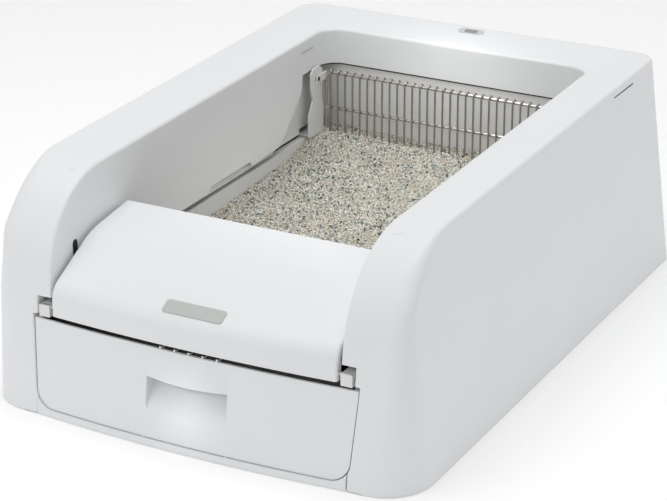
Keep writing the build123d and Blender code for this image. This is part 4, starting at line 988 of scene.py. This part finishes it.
def make_stage():
    """Pale floor that runs up into a pale backdrop."""
    bm = bmesh.new()
    grid(bm, [[(x, y, z - STAGE_DROP) for x in (-STAGE_HALF, 0, STAGE_HALF)] for y, z in STAGE_PROFILE])
    mesh = bpy.data.meshes.new("studio_floor")
    bm.to_mesh(mesh)
    bm.free()
    mesh.materials.append(stage_white())
    floor = bpy.data.objects.new("studio_floor", mesh)
    bpy.context.collection.objects.link(floor)


def area_light(name, place, target, size, power, spread=180.0):
    """Soft rectangular lamp; places are in metres and the spread is in degrees."""
    data = bpy.data.lights.new(name, "AREA")
    data.shape = "RECTANGLE"
    data.size, data.size_y = size
    data.energy = power
    data.spread = math.radians(spread)
    lamp = bpy.data.objects.new(name, data)
    bpy.context.collection.objects.link(lamp)
    lamp.location = place
    lamp.rotation_euler = (Vector(target) - Vector(place)).to_track_quat("-Z", "Y").to_euler()


def make_light():
    """Bright studio: even white surroundings, large soft boxes, and small lamps that lift the hollows."""
    world = bpy.data.worlds.new("studio")
    world.use_nodes = True
    world.node_tree.nodes["Background"].inputs["Color"].default_value = (1.0, 1.0, 1.0, 1)
    world.node_tree.nodes["Background"].inputs["Strength"].default_value = SKY
    bpy.context.scene.world = world
    area_light("top", (0.0, -0.15, 2.6), (0, 0, 0.1), (2.2, 2.2), 30)
    area_light("key", (-0.6, -1.8, 2.4), (0, 0, 0.1), (1.6, 1.6), 5)
    area_light("front left", (-0.8, -1.1, 0.6), (-0.15, -0.34, 0.1), (0.6, 0.6), 0.95)
    area_light("inside", row_point(0, 390, 315), row_point(0, 391, 0), (0.04, 0.34), 0.13, 128)
    area_light("rear wall", row_point(0, 210, 370), row_point(0, 595, 200), (0.22, 0.05), 0.026, 50)
    area_light("handle", row_point(0, -330, 300), row_point(0, 8, 35), (0.04, 0.04), 0.0014, 10)


def make_camera():
    """Camera at the photograph's place: in front, to the right and above."""
    data = bpy.data.cameras.new("camera")
    data.sensor_width = SENSOR_WIDTH
    data.lens = CAMERA_FOCAL * SENSOR_WIDTH / IMAGE_WIDTH
    data.shift_x = (IMAGE_WIDTH / 2 - CAMERA_AXIS[0]) / IMAGE_WIDTH
    data.shift_y = -(IMAGE_HEIGHT / 2 - CAMERA_AXIS[1]) / IMAGE_WIDTH
    data.clip_start, data.clip_end = 0.05, 50
    camera = bpy.data.objects.new("camera", data)
    bpy.context.collection.objects.link(camera)
    camera.location = row_point(*CAMERA_PLACE)
    camera.rotation_euler = (math.pi / 2 - math.radians(CAMERA_PITCH), 0, math.radians(CAMERA_YAW))
    bpy.context.scene.camera = camera
    bpy.context.scene.view_settings.view_transform = "Standard"


dress_nodes()
make_hood()
make_litter_bed()
make_granules()
make_rake_wires()
make_rake_arms()
make_rake_stubs()
make_openings()
make_screens()
make_gap_shade()
make_shade()
make_bay_gap()
make_inner_slits()
make_teeth()
make_stage()
make_light()
make_camera()
